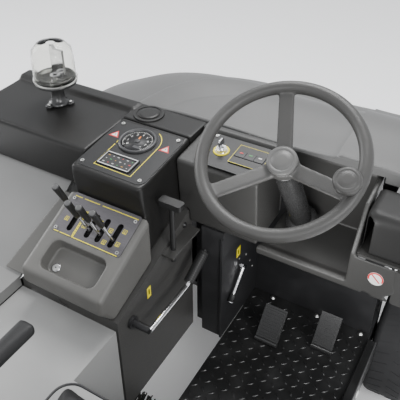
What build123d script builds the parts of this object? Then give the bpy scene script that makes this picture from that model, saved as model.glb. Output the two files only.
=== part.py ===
from build123d import *
import os
from math import sin, cos, tan, atan2, radians

os.makedirs("parts", exist_ok=True)

# ---- driving sizes, mm ----
machine_width = 1320          # across the body
machine_front = 1110          # front face of the hopper, forward of the origin
machine_rear = -1110          # rear face of the bumper
running_gap = 0.05            # radial clearance of a pin in its bore
panel_gap = 2                 # gap between neighbouring body panels
side_gap = 3                  # gap between a moving piece and its neighbour
sheet = 4                     # body panel thickness
plate_sheet = 2               # instrument and lever plate thickness
floor_top = 360               # tread plate above the ground
floor_sheet = 5
deck_top = 670                # seat deck above the ground

# rails and running gear
rail_outer = 495
rail_width = 40
rail_bottom = 240
rail_height = 110
rail_rear = -1060
rail_front = 570
wheel_radius = 200
wheel_width = 140
front_wheel_x = 572
front_wheel_y = 640
rear_wheel_y = -800
axle_radius = 16
fork_gap = 8
brush_radius = 160
brush_shaft_radius = 15
brush_y = -120
brush_half = 435
side_brush_radius = 160
side_brush_hub = 80
side_brush_x = 500
side_brush_y = 230
brush_post_x = 470
brush_post_y = 340
brush_arm_z = 165

# operator's wheel and column
wheel_x = 270
wheel_y = 175
wheel_z = 1100
wheel_tilt = 31.3             # column lean from the vertical
rim_radius = 195
rim_tube = 15.5
column_length = 398
boot_radius = 28

# left console and instrument housing
console_x = -128
console_y = -39
console_z = 848
console_slope = 24.9
console_half = 122
console_front = 106           # along the slope from the console point
console_rear = -124
lever_plate_width = 208
lever_plate_length = 114
lever_plate_v = 48.5
lever_slot_length = 66
lever_slot_width = 15
lever_slot_v = 37.5
lever_rod_radius = 4
lever_length = 140
lever_pivot_depth = 60
tray_width = 167
tray_length = 79
tray_v = -64
tray_depth = 36
housing_slope = 4.95
housing_y = 164               # centre of the instrument plate
housing_z = 991
housing_half = 106
plate_side = 202
gauge_radius = 50

# dash
dash_edge_y = 368             # where the dash meets the hood
dash_top = 990
wing_rear_y = 110
wing_bottom = 866
wing_end_x = -655
pocket_left = 110
pocket_right = 442
pocket_lip_y = 220
pocket_lip_z = 772
front_wall_y = 456
fender_left = 457
fender_height = 113
fender_foot = 862
column_left = 5
column_right = 110
column_rear_y = 225
sill_x = 497

# hopper
hopper_half = 440
hopper_rear = 540
hopper_bottom = 150
hopper_sheet = 5
arm_pivot_y = 500
arm_pivot_z = 600
arm_setback = 610             # from the machine's front face to the arm's length
arm_rest = -25
arm_sheet = 15
tube_radius = 20
tilt_setback = 40             # tilt pin behind the machine's front face
tilt_z = 185
cradle_pin = 12

# seat
seat_x = 270
seat_half = 235
seat_front = -290
seat_rear = -760
seat_top = 790
backrest_top = 1190

# beacon
beacon_x = -449
beacon_y = 262
lens_radius = 62

half = machine_width / 2
arm_length = machine_front - arm_setback
tilt_y = machine_front - tilt_setback
housing_plane = Plane(
    origin=(console_x, housing_y, housing_z),
    x_dir=(1, 0, 0),
    z_dir=(0, -sin(radians(housing_slope)), cos(radians(housing_slope))),
)
console_plane = Plane(
    origin=(console_x, console_y, console_z),
    x_dir=(1, 0, 0),
    z_dir=(0, -sin(radians(console_slope)), cos(radians(console_slope))),
)
wheel_plane = Plane(
    origin=(wheel_x, wheel_y, wheel_z),
    x_dir=(1, 0, 0),
    z_dir=(0, -sin(radians(wheel_tilt)), cos(radians(wheel_tilt))),
)


def console_height(y):
    """Height of the console's top plane above the ground at y."""
    return console_z + (y - console_y) * tan(radians(console_slope))


def save(piece, label):
    """Label one finished piece and write it."""
    piece.part.label = label
    export_step(piece.part, f"parts/{label}.step")


def save_members(members, label):
    """Write a welded piece whose members stay separate solids."""
    piece = Part(Compound(members).wrapped)
    piece.label = label
    export_step(piece, f"parts/{label}.step")


# ---- frame ----
# left console base line rises forward over the side box
box_rear = -112
box_top_rear = 698
box_slope = 18.8
box_front = column_rear_y
box_left = -300


def box_height(y):
    """Height of the side box's sloping top at y."""
    return box_top_rear + (y - box_rear) * tan(radians(box_slope))


upright_sheet = 12
upright_x = rail_outer - rail_width - upright_sheet
drop_sheet = 12
head_plate_rise = 100
head_plate_width = 240
fork_pin_radius = 30
frame_members = []
for side in (-1, 1):
    with BuildPart() as rail:
        with Locations((side * (rail_outer - rail_width / 2), (rail_front + rail_rear) / 2, rail_bottom)):
            Box(rail_width, rail_front - rail_rear, rail_height, align=(Align.CENTER, Align.CENTER, Align.MIN))
    # lift arm upright with its bore, on the rail's inner face
    with BuildPart() as upright:
        with Locations((side * (upright_x + upright_sheet / 2), arm_pivot_y, rail_bottom)):
            Box(upright_sheet, 80, arm_pivot_z - rail_bottom + 50, align=(Align.CENTER, Align.CENTER, Align.MIN))
        with Locations(Plane((0, arm_pivot_y, arm_pivot_z), z_dir=(1, 0, 0))):
            Cylinder(tube_radius + running_gap, machine_width, mode=Mode.SUBTRACT)
    # drop plate on the rail's front end, and the front axle
    with BuildPart() as drop_plate:
        with Locations((side * (rail_outer - rail_width / 2), rail_front, wheel_radius - 65)):
            Box(drop_sheet, front_wheel_y - rail_front + 50, rail_bottom + rail_height - wheel_radius + 65,
                align=(Align.CENTER, Align.MIN, Align.MIN))
    axle_start = rail_outer - rail_width / 2 + drop_sheet / 2
    with BuildPart() as axle:
        with Locations(Plane((side * axle_start, front_wheel_y, wheel_radius), z_dir=(side, 0, 0))):
            Cylinder(axle_radius, front_wheel_x + wheel_width / 2 + 14 - axle_start,
                     align=(Align.CENTER, Align.CENTER, Align.MIN))
    # brush hanger on the rail's inner face
    with BuildPart() as hanger:
        with Locations((side * (upright_x + upright_sheet / 2), brush_y, rail_bottom - 110)):
            Box(upright_sheet, 70, 150, align=(Align.CENTER, Align.CENTER, Align.MIN))
        with Locations(Plane((0, brush_y, brush_radius + 6), z_dir=(1, 0, 0))):
            Cylinder(brush_shaft_radius + running_gap, machine_width, mode=Mode.SUBTRACT)
    # post under the steering head plate
    with BuildPart() as post:
        with Locations((side * (rail_outer - rail_width / 2), rear_wheel_y, rail_bottom + rail_height)):
            Box(rail_width, head_plate_width, head_plate_rise, align=(Align.CENTER, Align.CENTER, Align.MIN))
    for member in (rail, upright, drop_plate, axle, hanger, post):
        frame_members += member.part.solids()
for y in (rail_rear + 30, rear_wheel_y + 250, brush_y - brush_radius - 60):
    with BuildPart() as cross_member:
        with Locations((0, y, rail_bottom + rail_height)):
            Box(2 * (rail_outer - rail_width), 50, 60, align=(Align.CENTER, Align.CENTER, Align.MAX))
    frame_members += cross_member.part.solids()
with BuildPart() as head_plate:
    with Locations((0, rear_wheel_y, rail_bottom + rail_height + head_plate_rise)):
        Box(2 * rail_outer, head_plate_width, 20, align=(Align.CENTER, Align.CENTER, Align.MIN))
        Cylinder(fork_pin_radius + running_gap, 60, mode=Mode.SUBTRACT)
frame_members += head_plate.part.solids()
with BuildPart() as bumper:
    with Locations((0, (rail_rear + machine_rear) / 2, 220)):
        Box(machine_width - 40, rail_rear - machine_rear, 180, align=(Align.CENTER, Align.CENTER, Align.MIN))
frame_members += bumper.part.solids()
# the members stay separate solids, as cut before welding
save_members(frame_members, "chassis_frame")

# ---- tread plate with the low sill along its right edge ----
floor_rear = seat_front + 20
with BuildPart() as floor:
    with Locations((column_right + 1, floor_rear, floor_top - floor_sheet)):
        Box(sill_x - column_right - 1, front_wall_y - floor_rear - 1, floor_sheet,
            align=(Align.MIN, Align.MIN, Align.MIN))
    with Locations((sill_x, floor_rear, floor_top - 60)):
        Box(27, front_wall_y - 30 - floor_rear, 72, align=(Align.MIN, Align.MIN, Align.MIN))
    fillet(floor.edges().filter_by(Axis.Y).group_by(Axis.Z)[-1], 4)
    # bearers that stand the plate on the right rail
    with Locations((rail_outer - rail_width, floor_rear + 40, rail_bottom + rail_height)):
        Box(rail_width - 2, front_wall_y - floor_rear - 80, floor_top - floor_sheet - rail_bottom - rail_height,
            align=(Align.MIN, Align.MIN, Align.MIN))
save(floor, "floor_plate")

# ---- footwell front wall and the column on its left ----
with BuildPart() as wall:
    with Locations((column_right, front_wall_y, floor_top)):
        Box(sill_x - column_right - 4, sheet, pocket_lip_z - floor_top - 14, align=(Align.MIN, Align.MIN, Align.MIN))
    with Locations((column_left + 37, column_rear_y, floor_top)):
        Box(column_right - column_left - 37, front_wall_y - column_rear_y + sheet, 410,
            align=(Align.MIN, Align.MIN, Align.MIN))
    with Locations((column_left + 3, column_rear_y + 30, floor_top)):
        Box(40, front_wall_y - column_rear_y - 26, 410, align=(Align.MIN, Align.MIN, Align.MIN))
    # hollow, open below
    with Locations((column_left + 8, column_rear_y + 35, floor_top - 1)):
        Box(column_right - column_left - 12, front_wall_y - column_rear_y - 36, 406,
            align=(Align.MIN, Align.MIN, Align.MIN), mode=Mode.SUBTRACT)
    # rear edge flange and the bracket for the lock handle
    with Locations((column_right - 6, column_rear_y - 6, floor_top)):
        Box(6, 7, 390, align=(Align.MIN, Align.MIN, Align.MIN))
save(wall, "footwell_wall")

# ---- side box under the console ----
with BuildPart() as side_box:
    with BuildSketch(Plane.YZ.offset(box_left)) as s:
        with BuildLine():
            Polyline(
                (box_rear, floor_top - 5),
                (box_rear, box_top_rear),
                (box_front + 10, box_height(box_front + 10)),
                (box_front + 10, floor_top - 5),
                close=True,
            )
        make_face()
    extrude(amount=column_left - box_left)
    with BuildSketch(Plane.YZ.offset(box_left + sheet)) as s:
        with BuildLine():
            Polyline(
                (box_rear + sheet, floor_top - 10),
                (box_rear + sheet, box_top_rear - sheet),
                (box_front + 10 - sheet, box_height(box_front + 10) - sheet - 3),
                (box_front + 10 - sheet, floor_top - 10),
                close=True,
            )
        make_face()
    extrude(amount=column_left - box_left - 2 * sheet, mode=Mode.SUBTRACT)
    with Locations((column_left, 84, box_height(84))):
        Box(36, box_front - 84 - 8, 6, align=(Align.MIN, Align.MIN, Align.MAX))
    # bore for the lock handle's rod
    with Locations((column_left + 16, 115, box_height(84))):
        Cylinder(7 + running_gap, 60, mode=Mode.SUBTRACT)
    # oval latch recess in the rear wall
    with BuildSketch(Plane.XZ.offset(-box_rear)) as s:
        with Locations((-165, box_top_rear - 18)):
            SlotOverall(30, 14)
    extrude(amount=-1.5, mode=Mode.SUBTRACT)
save(side_box, "side_box")

# ---- console moulding with its tray and lever well ----
skirt_x = -304
skirt_foot_x = -357
skirt_top_x = -306
skirt_length = 250
fender_top = 705
cover_foot_y = -115
cover_slope = atan2(wing_bottom - 6 - fender_top, wing_rear_y + 8 - cover_foot_y)
cover_plane = Plane(origin=(0, cover_foot_y, fender_top), x_dir=(1, 0, 0), z_dir=(0, -sin(cover_slope), cos(cover_slope)))
wall_thin = 4


def console_profile(inset):
    """Console side outline in Y and Z, moved inwards by inset."""
    slope = radians(console_slope)
    top_y = console_y + console_front * cos(slope)
    low_y = console_y + console_rear * cos(slope)
    return [
        (top_y - inset, console_height(top_y) - inset * 1.2),
        (low_y + inset, console_height(low_y) - inset * 0.9),
        (low_y + inset, console_height(low_y) - 42),
        (box_rear + 2 + inset, box_height(box_rear) + 2),
        (top_y - inset, box_height(top_y) + 2),
    ]


with BuildPart() as console:
    with BuildSketch(Plane.YZ.offset(console_x - console_half)) as s:
        with BuildLine():
            Polyline(*console_profile(0), close=True)
        make_face()
    extrude(amount=2 * console_half)
    fillet(console.edges().filter_by(Axis.X).group_by(Axis.Y)[0], 14)
    rim = console.faces().sort_by(Axis.Z)[-1].edges().filter_by(Axis.X, reverse=True)
    fillet(rim, 12)
    # hollow underneath
    with BuildSketch(Plane.YZ.offset(console_x - console_half + 6)) as s:
        with BuildLine():
            Polyline(*console_profile(7), close=True)
        make_face()
    extrude(amount=2 * console_half - 12, mode=Mode.SUBTRACT)
    # tray tub
    with BuildSketch(console_plane.offset(-2)) as s:
        with Locations((2, tray_v)):
            RectangleRounded(tray_width + 2 * wall_thin, tray_length + 2 * wall_thin, 26)
    extrude(amount=-tray_depth - wall_thin + 2)
    with BuildSketch(console_plane) as s:
        with Locations((2, tray_v)):
            RectangleRounded(tray_width, tray_length, 22)
    extrude(amount=-tray_depth, taper=6, mode=Mode.SUBTRACT)
    # seat for the lever plate, open below it
    with BuildSketch(console_plane.offset(-1)) as s:
        with Locations((0, lever_plate_v)):
            RectangleRounded(lever_plate_width + 2, lever_plate_length + 2, 8)
    extrude(amount=4, mode=Mode.SUBTRACT)
    with BuildSketch(console_plane.offset(1)) as s:
        with Locations((0, lever_slot_v)):
            Rectangle(lever_plate_width - 40, lever_slot_length + 10)
    extrude(amount=-14, mode=Mode.SUBTRACT)
    # foot of the moulding, flared out over the left cover
    with BuildSketch(cover_plane.offset(panel_gap)) as s:
        with BuildLine():
            Polyline(
                (console_x - console_half + 1, 6),
                (skirt_foot_x, 6),
                (skirt_top_x, skirt_length),
                (console_x - console_half + 1, skirt_length),
                close=True,
            )
        make_face()
    extrude(amount=3)
save(console, "console")

# ---- lever plate ----
slot_u = (-60.5, -6.5, 26, 64.5)
with BuildPart() as lever_plate:
    with BuildSketch(console_plane.offset(-1)) as s:
        with Locations((0, lever_plate_v)):
            RectangleRounded(lever_plate_width, lever_plate_length, 7)
        for u in slot_u:
            with Locations((u, lever_slot_v)):
                SlotOverall(lever_slot_length, lever_slot_width, rotation=90, mode=Mode.SUBTRACT)
    extrude(amount=plate_sheet)
save(lever_plate, "lever_plate")

# ---- four hydraulic levers ----
lever_v = (51, 25.5, 25.5, 25.5)
for number, u, v in zip((1, 2, 3, 4), slot_u, lever_v):
    with BuildPart() as lever:
        with Locations(console_plane.offset(-lever_pivot_depth) * Location((u, v, 0))):
            Cylinder(lever_rod_radius, lever_pivot_depth + lever_length - 50,
                     align=(Align.CENTER, Align.CENTER, Align.MIN))
            Sphere(6)
        with Locations(console_plane.offset(lever_length - 62) * Location((u, v, 0))):
            Cylinder(9, 62, align=(Align.CENTER, Align.CENTER, Align.MIN))
        fillet(lever.edges().filter_by(GeomType.CIRCLE).sort_by(Axis.Z)[-1], 1.5)
    save(lever, f"hydraulic_lever_{number}")

# ---- instrument housing ----
lip_y = 48
neck_y = console_y + console_front * cos(radians(console_slope)) + 3


def housing_height(y):
    """Height of the instrument housing's top plane at y."""
    return housing_z + (y - housing_y) * tan(radians(housing_slope))


with BuildPart() as binnacle:
    with BuildSketch(Plane.YZ.offset(console_x - housing_half)) as s:
        with BuildLine():
            Polyline(
                (lip_y, housing_height(lip_y)),
                (lip_y, housing_height(lip_y) - 16),
                (neck_y, console_height(neck_y) + 1),
                (neck_y, box_height(neck_y) + 4),
                (box_front - 2, box_height(box_front) + 4),
                (housing_y + plate_side / 2 + 10, wing_bottom),
                (housing_y + plate_side / 2 + 10, housing_height(housing_y + plate_side / 2 + 10)),
                close=True,
            )
        make_face()
    extrude(amount=2 * housing_half)
    fillet(binnacle.edges().filter_by(Axis.Z).group_by(Axis.Y)[0], 14)
    crown = binnacle.faces().sort_by(Axis.Z)[-1].edges().sort_by(Axis.Y)[:-1]
    fillet(crown, 8)
    with BuildSketch(Plane.YZ.offset(console_x - housing_half + 6)) as s:
        with BuildLine():
            Polyline(
                (lip_y + 12, housing_height(lip_y) - 14),
                (neck_y + 6, console_height(neck_y) - 10),
                (neck_y + 6, box_height(neck_y) - 20),
                (box_front - 2, box_height(box_front) - 20),
                (housing_y + plate_side / 2 + 4, wing_bottom),
                (housing_y + plate_side / 2 + 4, housing_height(housing_y) - 14),
                close=True,
            )
        make_face()
    extrude(amount=2 * housing_half - 12, mode=Mode.SUBTRACT)
    with BuildSketch(housing_plane.offset(-plate_sheet)) as s:
        RectangleRounded(plate_side + 1, plate_side + 1, 19)
    extrude(amount=12, mode=Mode.SUBTRACT)
    with BuildSketch(housing_plane) as s:
        Rectangle(plate_side - 28, plate_side - 28)
    extrude(amount=-24, mode=Mode.SUBTRACT)
save(binnacle, "instrument_housing")

# ---- instrument plate, gauge and display ----
gauge_u = -6.5
gauge_v = 39
display_u = -2
display_v = -53
display_width = 98
display_length = 49
with BuildPart() as instrument_plate:
    with BuildSketch(housing_plane.offset(-plate_sheet)) as s:
        RectangleRounded(plate_side, plate_side, 18)
        with Locations((gauge_u, gauge_v)):
            Circle(gauge_radius - 4, mode=Mode.SUBTRACT)
        with Locations((display_u, display_v)):
            Rectangle(display_width - 8, display_length - 8, mode=Mode.SUBTRACT)
    extrude(amount=plate_sheet)
save(instrument_plate, "instrument_plate")

with BuildPart() as gauge:
    with Locations(housing_plane * Location((gauge_u, gauge_v, 0))):
        Cylinder(gauge_radius, 5, align=(Align.CENTER, Align.CENTER, Align.MIN))
        Cylinder(gauge_radius - 5, 12, align=(Align.CENTER, Align.CENTER, Align.MAX))
    with Locations(housing_plane.offset(1) * Location((gauge_u, gauge_v, 0))):
        Cylinder(gauge_radius - 6, 6, align=(Align.CENTER, Align.CENTER, Align.MIN), mode=Mode.SUBTRACT)
save(gauge, "gauge")

with BuildPart() as display:
    with Locations(housing_plane * Location((display_u, display_v, 0))):
        Box(display_width, display_length, 4, align=(Align.CENTER, Align.CENTER, Align.MIN))
        Box(display_width - 9, display_length - 9, 12, align=(Align.CENTER, Align.CENTER, Align.MAX))
    with Locations(housing_plane.offset(2) * Location((display_u, display_v, 0))):
        Box(display_width - 10, display_length - 10, 5, align=(Align.CENTER, Align.CENTER, Align.MIN),
            mode=Mode.SUBTRACT)
save(display, "display_unit")

# ---- left wing of the dash, with its raised front lip, running behind the housing ----
with BuildPart() as wing:
    with BuildSketch(Plane.YZ.offset(wing_end_x)) as s:
        with BuildLine():
            Polyline(
                (wing_rear_y, wing_bottom),
                (wing_rear_y, dash_top - 2),
                (dash_edge_y - 54, dash_top + 4),
                (dash_edge_y - 42, dash_top + 16),
                (dash_edge_y - 3, dash_top + 16),
                (dash_edge_y - 3, wing_bottom),
                close=True,
            )
        make_face()
    extrude(amount=console_x - housing_half - 1 - wing_end_x)
    fillet(wing.edges().filter_by(Axis.X).group_by(Axis.Z)[-1], 5)
    fillet(wing.edges().filter_by(Axis.X).group_by(Axis.Y)[0].sort_by(Axis.Z)[-1], 9)
    # part behind the housing
    with Locations((console_x - housing_half - 1, housing_y + plate_side / 2 + 12, wing_bottom)):
        Box(2 * housing_half + 2, dash_edge_y - 3 - housing_y - plate_side / 2 - 12, dash_top - wing_bottom + 12,
            align=(Align.MIN, Align.MIN, Align.MIN))
    with Locations((0, 0, 0)):
        with BuildSketch(Plane.YZ.offset(wing_end_x + 6)) as s:
            with BuildLine():
                Polyline(
                    (wing_rear_y + 6, wing_bottom - 1),
                    (wing_rear_y + 6, dash_top - 9),
                    (dash_edge_y - 9, dash_top - 3),
                    (dash_edge_y - 9, wing_bottom - 1),
                    close=True,
                )
            make_face()
        extrude(amount=console_x - housing_half - 13 - wing_end_x, mode=Mode.SUBTRACT)
    with Locations((console_x, (housing_y + plate_side / 2 + dash_edge_y) / 2 + 5, wing_bottom)):
        Box(2 * housing_half - 10, dash_edge_y - housing_y - plate_side / 2 - 28, dash_top - wing_bottom + 6,
            align=(Align.CENTER, Align.CENTER, Align.MIN), mode=Mode.SUBTRACT)
save(wing, "dash_wing")

# ---- round cover cap on the dash ----
cap_x = -180
cap_y = 322
with BuildPart() as cap:
    with Locations((cap_x, cap_y, dash_top + 12)):
        Cylinder(43, 4, align=(Align.CENTER, Align.CENTER, Align.MIN))
    fillet(cap.edges().sort_by(Axis.Z)[-1], 2)
    with BuildSketch(Plane.XY.offset(dash_top + 16)) as s:
        with Locations((cap_x, cap_y)):
            Circle(35)
            Circle(31, mode=Mode.SUBTRACT)
    extrude(amount=-1.5, mode=Mode.SUBTRACT)
save(cap, "cover_cap")

# ---- dash on the right: switch housing, column pocket and lower right panel ----
switch_slope = 5
switch_plane = Plane(
    origin=(112, 272, dash_top + 1.5),
    x_dir=(1, 0, 0),
    z_dir=(0, -sin(radians(switch_slope)), cos(radians(switch_slope))),
)
rocker_u = 38
rocker_v = 6
key_u = -40
key_v = 2
switch_front = 203
dash_low = 780
pocket_back = 400
with BuildPart() as dash:
    # switch housing
    with BuildSketch(Plane.YZ.offset(console_x + housing_half + panel_gap)) as s:
        with BuildLine():
            Polyline(
                (switch_front, dash_top - 10),
                (switch_front + 18, dash_low),
                (dash_edge_y - 3, dash_low),
                (dash_edge_y - 3, dash_top + 14),
                (dash_edge_y - 24, dash_top + 14),
                (dash_edge_y - 30, dash_top),
                close=True,
            )
        make_face()
    extrude(amount=pocket_left - console_x - housing_half - panel_gap + 96)
    fillet(dash.edges().filter_by(Axis.X).group_by(Axis.Y)[0], 9)
    fillet(dash.edges().filter_by(Axis.X).group_by(Axis.Z)[-1], 5)
    with BuildSketch(Plane.YZ.offset(console_x + housing_half + panel_gap + 5)) as s:
        with BuildLine():
            Polyline(
                (switch_front + 8, dash_top - 16),
                (switch_front + 24, dash_low - 1),
                (dash_edge_y - 9, dash_low - 1),
                (dash_edge_y - 9, dash_top - 6),
                close=True,
            )
        make_face()
    extrude(amount=pocket_left - console_x - housing_half - panel_gap + 86, mode=Mode.SUBTRACT)
    # pocket around the column, open to the rear and above
    with BuildSketch(Plane.YZ.offset(pocket_left + 95)) as s:
        with BuildLine():
            Polyline(
                (pocket_lip_y, pocket_lip_z - 20),
                (pocket_lip_y, pocket_lip_z),
                (pocket_lip_y + 14, pocket_lip_z),
                (pocket_lip_y + 40, pocket_lip_z - 14),
                (pocket_back + 34, pocket_lip_z - 16),
                (pocket_back - 6, dash_top - 22),
                (pocket_back - 3, dash_top - 8),
                (pocket_back + 1, dash_top - 8),
                (pocket_back + 1, dash_top - 22),
                (pocket_back + 40, pocket_lip_z - 20),
                close=True,
            )
        make_face()
    extrude(amount=pocket_right - pocket_left - 95 + 6)
    # right block beside the pocket and the panel below it
    with BuildSketch(Plane.YZ.offset(pocket_right)) as s:
        with BuildLine():
            Polyline(
                (pocket_lip_y, pocket_lip_z - 20),
                (pocket_lip_y + 6, dash_top - 130),
                (pocket_lip_y + 70, dash_top - 26),
                (pocket_back + 1, dash_top - 12),
                (pocket_back + 40, pocket_lip_z - 20),
                close=True,
            )
        make_face()
    extrude(amount=12)
    with BuildSketch(Plane.YZ.offset(pocket_right + 12)) as s:
        with BuildLine():
            Polyline(
                (pocket_lip_y, pocket_lip_z - 20),
                (pocket_lip_y + 4, dash_top - 136),
                (pocket_lip_y + 24, dash_top - 136),
                (pocket_back + 1, dash_top - 136),
                (pocket_back + 40, pocket_lip_z - 20),
                close=True,
            )
        make_face()
    extrude(amount=104)
    with Locations((pocket_right + 116, pocket_lip_y - 20, pocket_lip_z - 30)):
        Box(60, 60, 30, align=(Align.CENTER, Align.MIN, Align.MIN), mode=Mode.SUBTRACT, rotation=(0, 45, 0))
    with Locations((pocket_right + 18, pocket_lip_y + 8, pocket_lip_z - 26)):
        Box(92, pocket_back - pocket_lip_y, 110, align=(Align.MIN, Align.MIN, Align.MIN), mode=Mode.SUBTRACT)
    # cable notch in the panel's lower edge
    with Locations((pocket_right + 52, pocket_lip_y, pocket_lip_z - 20)):
        Box(22, 30, 12, mode=Mode.SUBTRACT)
    # openings for the rockers and the key switch
    with BuildSketch(switch_plane.offset(1)) as s:
        with Locations((rocker_u, rocker_v)):
            Rectangle(84, 40)
        with Locations((key_u, key_v)):
            Circle(17)
    extrude(amount=-16, mode=Mode.SUBTRACT)
    # clear of the side box's front corner
    with Locations((console_x + housing_half, switch_front - 5, dash_low - 5)):
        Box(column_left + 2 - console_x - housing_half, 45, box_height(box_front + 10) - dash_low + 9,
            align=(Align.MIN, Align.MIN, Align.MIN), mode=Mode.SUBTRACT)
    # hole for the column foot
    with Locations(wheel_plane.offset(-column_length)):
        Cylinder(24, 60, mode=Mode.SUBTRACT)
save(dash, "dash_right")

# ---- fender beside the column pocket ----
with BuildPart() as right_fender:
    with Locations((fender_left, 238, fender_foot)):
        Box(half - 6 - fender_left, dash_edge_y - 3 - 238, fender_height, align=(Align.MIN, Align.MIN, Align.MIN))
    fillet(right_fender.edges().filter_by(Axis.Z).group_by(Axis.Y)[0], 32)
    fillet(right_fender.edges().group_by(Axis.Z)[-1], 24)
    with Locations((fender_left + sheet, 238 + sheet, fender_foot - 1)):
        Box(half - 6 - fender_left - 2 * sheet - 20, dash_edge_y - 3 - 238 - 2 * sheet, fender_height - sheet - 12,
            align=(Align.MIN, Align.MIN, Align.MIN), mode=Mode.SUBTRACT)
save(right_fender, "right_fender")

# ---- switch plate, key switch, key, rocker frame and rockers ----
with BuildPart() as switch_plate:
    with BuildSketch(switch_plane) as s:
        RectangleRounded(176, 124, 12)
        with Locations((rocker_u, rocker_v)):
            Rectangle(80, 66, mode=Mode.SUBTRACT)
        with Locations((key_u, key_v)):
            Circle(16.2, mode=Mode.SUBTRACT)
    extrude(amount=plate_sheet)
save(switch_plate, "switch_plate")

with BuildPart() as rocker_frame:
    with BuildSketch(switch_plane.offset(plate_sheet)) as s:
        with Locations((rocker_u, rocker_v)):
            RectangleRounded(88, 74, 5)
            Rectangle(78, 24, mode=Mode.SUBTRACT)
    extrude(amount=3)
    with BuildSketch(switch_plane.offset(plate_sheet)) as s:
        with Locations((rocker_u, rocker_v)):
            Rectangle(79.6, 30)
            Rectangle(78, 24, mode=Mode.SUBTRACT)
    extrude(amount=-12)
save(rocker_frame, "rocker_frame")

for name, index in (("rocker_red", -1), ("rocker_green", 0), ("rocker_white", 1)):
    with BuildPart() as rocker:
        with Locations(switch_plane.offset(plate_sheet + 2) * Location((rocker_u + index * 25.6, rocker_v, 0))):
            Box(24.2, 22, 5, align=(Align.CENTER, Align.CENTER, Align.CENTER))
        fillet(rocker.edges().filter_by(Axis.X).sort_by(Axis.Z)[-2:], 1.5)
    save(rocker, name)

with BuildPart() as key_switch:
    with Locations(switch_plane.offset(plate_sheet) * Location((key_u, key_v, 0))):
        Cylinder(20, 2.5, align=(Align.CENTER, Align.CENTER, Align.MIN))
        Cylinder(14, 9, align=(Align.CENTER, Align.CENTER, Align.MIN))
        Cylinder(16, 22, align=(Align.CENTER, Align.CENTER, Align.MAX))
    with Locations(switch_plane.offset(plate_sheet + 3) * Location((key_u, key_v, 0))):
        Cylinder(6 + running_gap, 7, align=(Align.CENTER, Align.CENTER, Align.MIN), mode=Mode.SUBTRACT)
save(key_switch, "key_switch")

with BuildPart() as key:
    with Locations(switch_plane.offset(plate_sheet + 3.2) * Location((key_u, key_v, 0))):
        Cylinder(6, 9, align=(Align.CENTER, Align.CENTER, Align.MIN))
        Box(2.4, 9, 16, align=(Align.CENTER, Align.CENTER, Align.MIN))
    with Locations(switch_plane.offset(plate_sheet + 18) * Location((key_u, key_v, 0))):
        Box(4.5, 22, 18, align=(Align.CENTER, Align.CENTER, Align.MIN))
    fillet(key.edges().filter_by(Axis.X).sort_by(Axis.Z)[-2:], 6)
save(key, "ignition_key")

# ---- column, boot, steering wheel and spinner knob ----
hub_low = -46
with BuildPart() as column:
    with Locations(wheel_plane.offset(-column_length - 26)):
        Cylinder(20, column_length + 26 + hub_low - 26, align=(Align.CENTER, Align.CENTER, Align.MIN))
    with Locations(wheel_plane.offset(-column_length - 26)):
        Cylinder(11, column_length + 26 + hub_low + 12, align=(Align.CENTER, Align.CENTER, Align.MIN))
save(column, "steering_column")

with BuildPart() as boot:
    with Locations(wheel_plane.offset(-column_length + 32)):
        Cylinder(boot_radius, column_length + hub_low - 40, align=(Align.CENTER, Align.CENTER, Align.MIN))
        Cylinder(boot_radius + 12, 6, align=(Align.CENTER, Align.CENTER, Align.MIN))
        Cylinder(20, column_length, align=(Align.CENTER, Align.CENTER, Align.MIN), mode=Mode.SUBTRACT)
save(boot, "column_boot")

spoke_angles = (108, 228, -12)
rim_centre = rim_radius - rim_tube
knob_u = 158.5
knob_v = -20
with BuildPart() as steering_wheel:
    with Locations(wheel_plane):
        Torus(rim_centre, rim_tube)
    with Locations(wheel_plane.offset(hub_low)):
        Cylinder(36, 20, align=(Align.CENTER, Align.CENTER, Align.MIN))
    for angle in spoke_angles:
        spoke = Plane(
            origin=wheel_plane.origin,
            x_dir=(wheel_plane.x_dir * cos(radians(angle)) + wheel_plane.y_dir * sin(radians(angle))),
            z_dir=(wheel_plane.y_dir * cos(radians(angle)) - wheel_plane.x_dir * sin(radians(angle))),
        )
        with BuildSketch(spoke.offset(-18)) as s:
            with BuildLine():
                Polyline((10, 42), (40, 42), (rim_centre, 6), (rim_centre, -5), (40, 27), (10, 27), close=True)
            make_face()
        extrude(amount=36)
    with Locations(wheel_plane.offset(hub_low + 12)):
        Cylinder(36, 12, align=(Align.CENTER, Align.CENTER, Align.MIN))
    with Locations(wheel_plane.offset(hub_low - 1)):
        Cylinder(11 + running_gap, 20, align=(Align.CENTER, Align.CENTER, Align.MIN), mode=Mode.SUBTRACT)
    # stud for the knob
    with Locations(wheel_plane.offset(-6) * Location((knob_u, knob_v, 0))):
        Cylinder(5, 40, align=(Align.CENTER, Align.CENTER, Align.MIN))
save(steering_wheel, "steering_wheel")

with BuildPart() as knob:
    with Locations(wheel_plane.offset(19) * Location((knob_u, knob_v, 0))):
        Cylinder(30, 22, align=(Align.CENTER, Align.CENTER, Align.MIN))
    fillet(knob.edges().filter_by(GeomType.CIRCLE), 5)
    with Locations(wheel_plane.offset(18) * Location((knob_u, knob_v, 0))):
        Cylinder(5 + running_gap, 17, align=(Align.CENTER, Align.CENTER, Align.MIN), mode=Mode.SUBTRACT)
save(knob, "spinner_knob")

# ---- lock handle on its rod ----
handle_y = 115
with BuildPart() as lock_handle:
    with Locations((column_left + 16, handle_y, box_height(84) - 40)):
        Cylinder(7, 180, align=(Align.CENTER, Align.CENTER, Align.MIN))
    with Locations((column_left + 16, handle_y, box_height(84) + 140)):
        Box(64, 26, 16, align=(Align.CENTER, Align.CENTER, Align.MIN))
    fillet(lock_handle.edges().filter_by(Axis.Z).group_by(SortBy.LENGTH)[0], 6)
save(lock_handle, "lock_handle")

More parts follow.
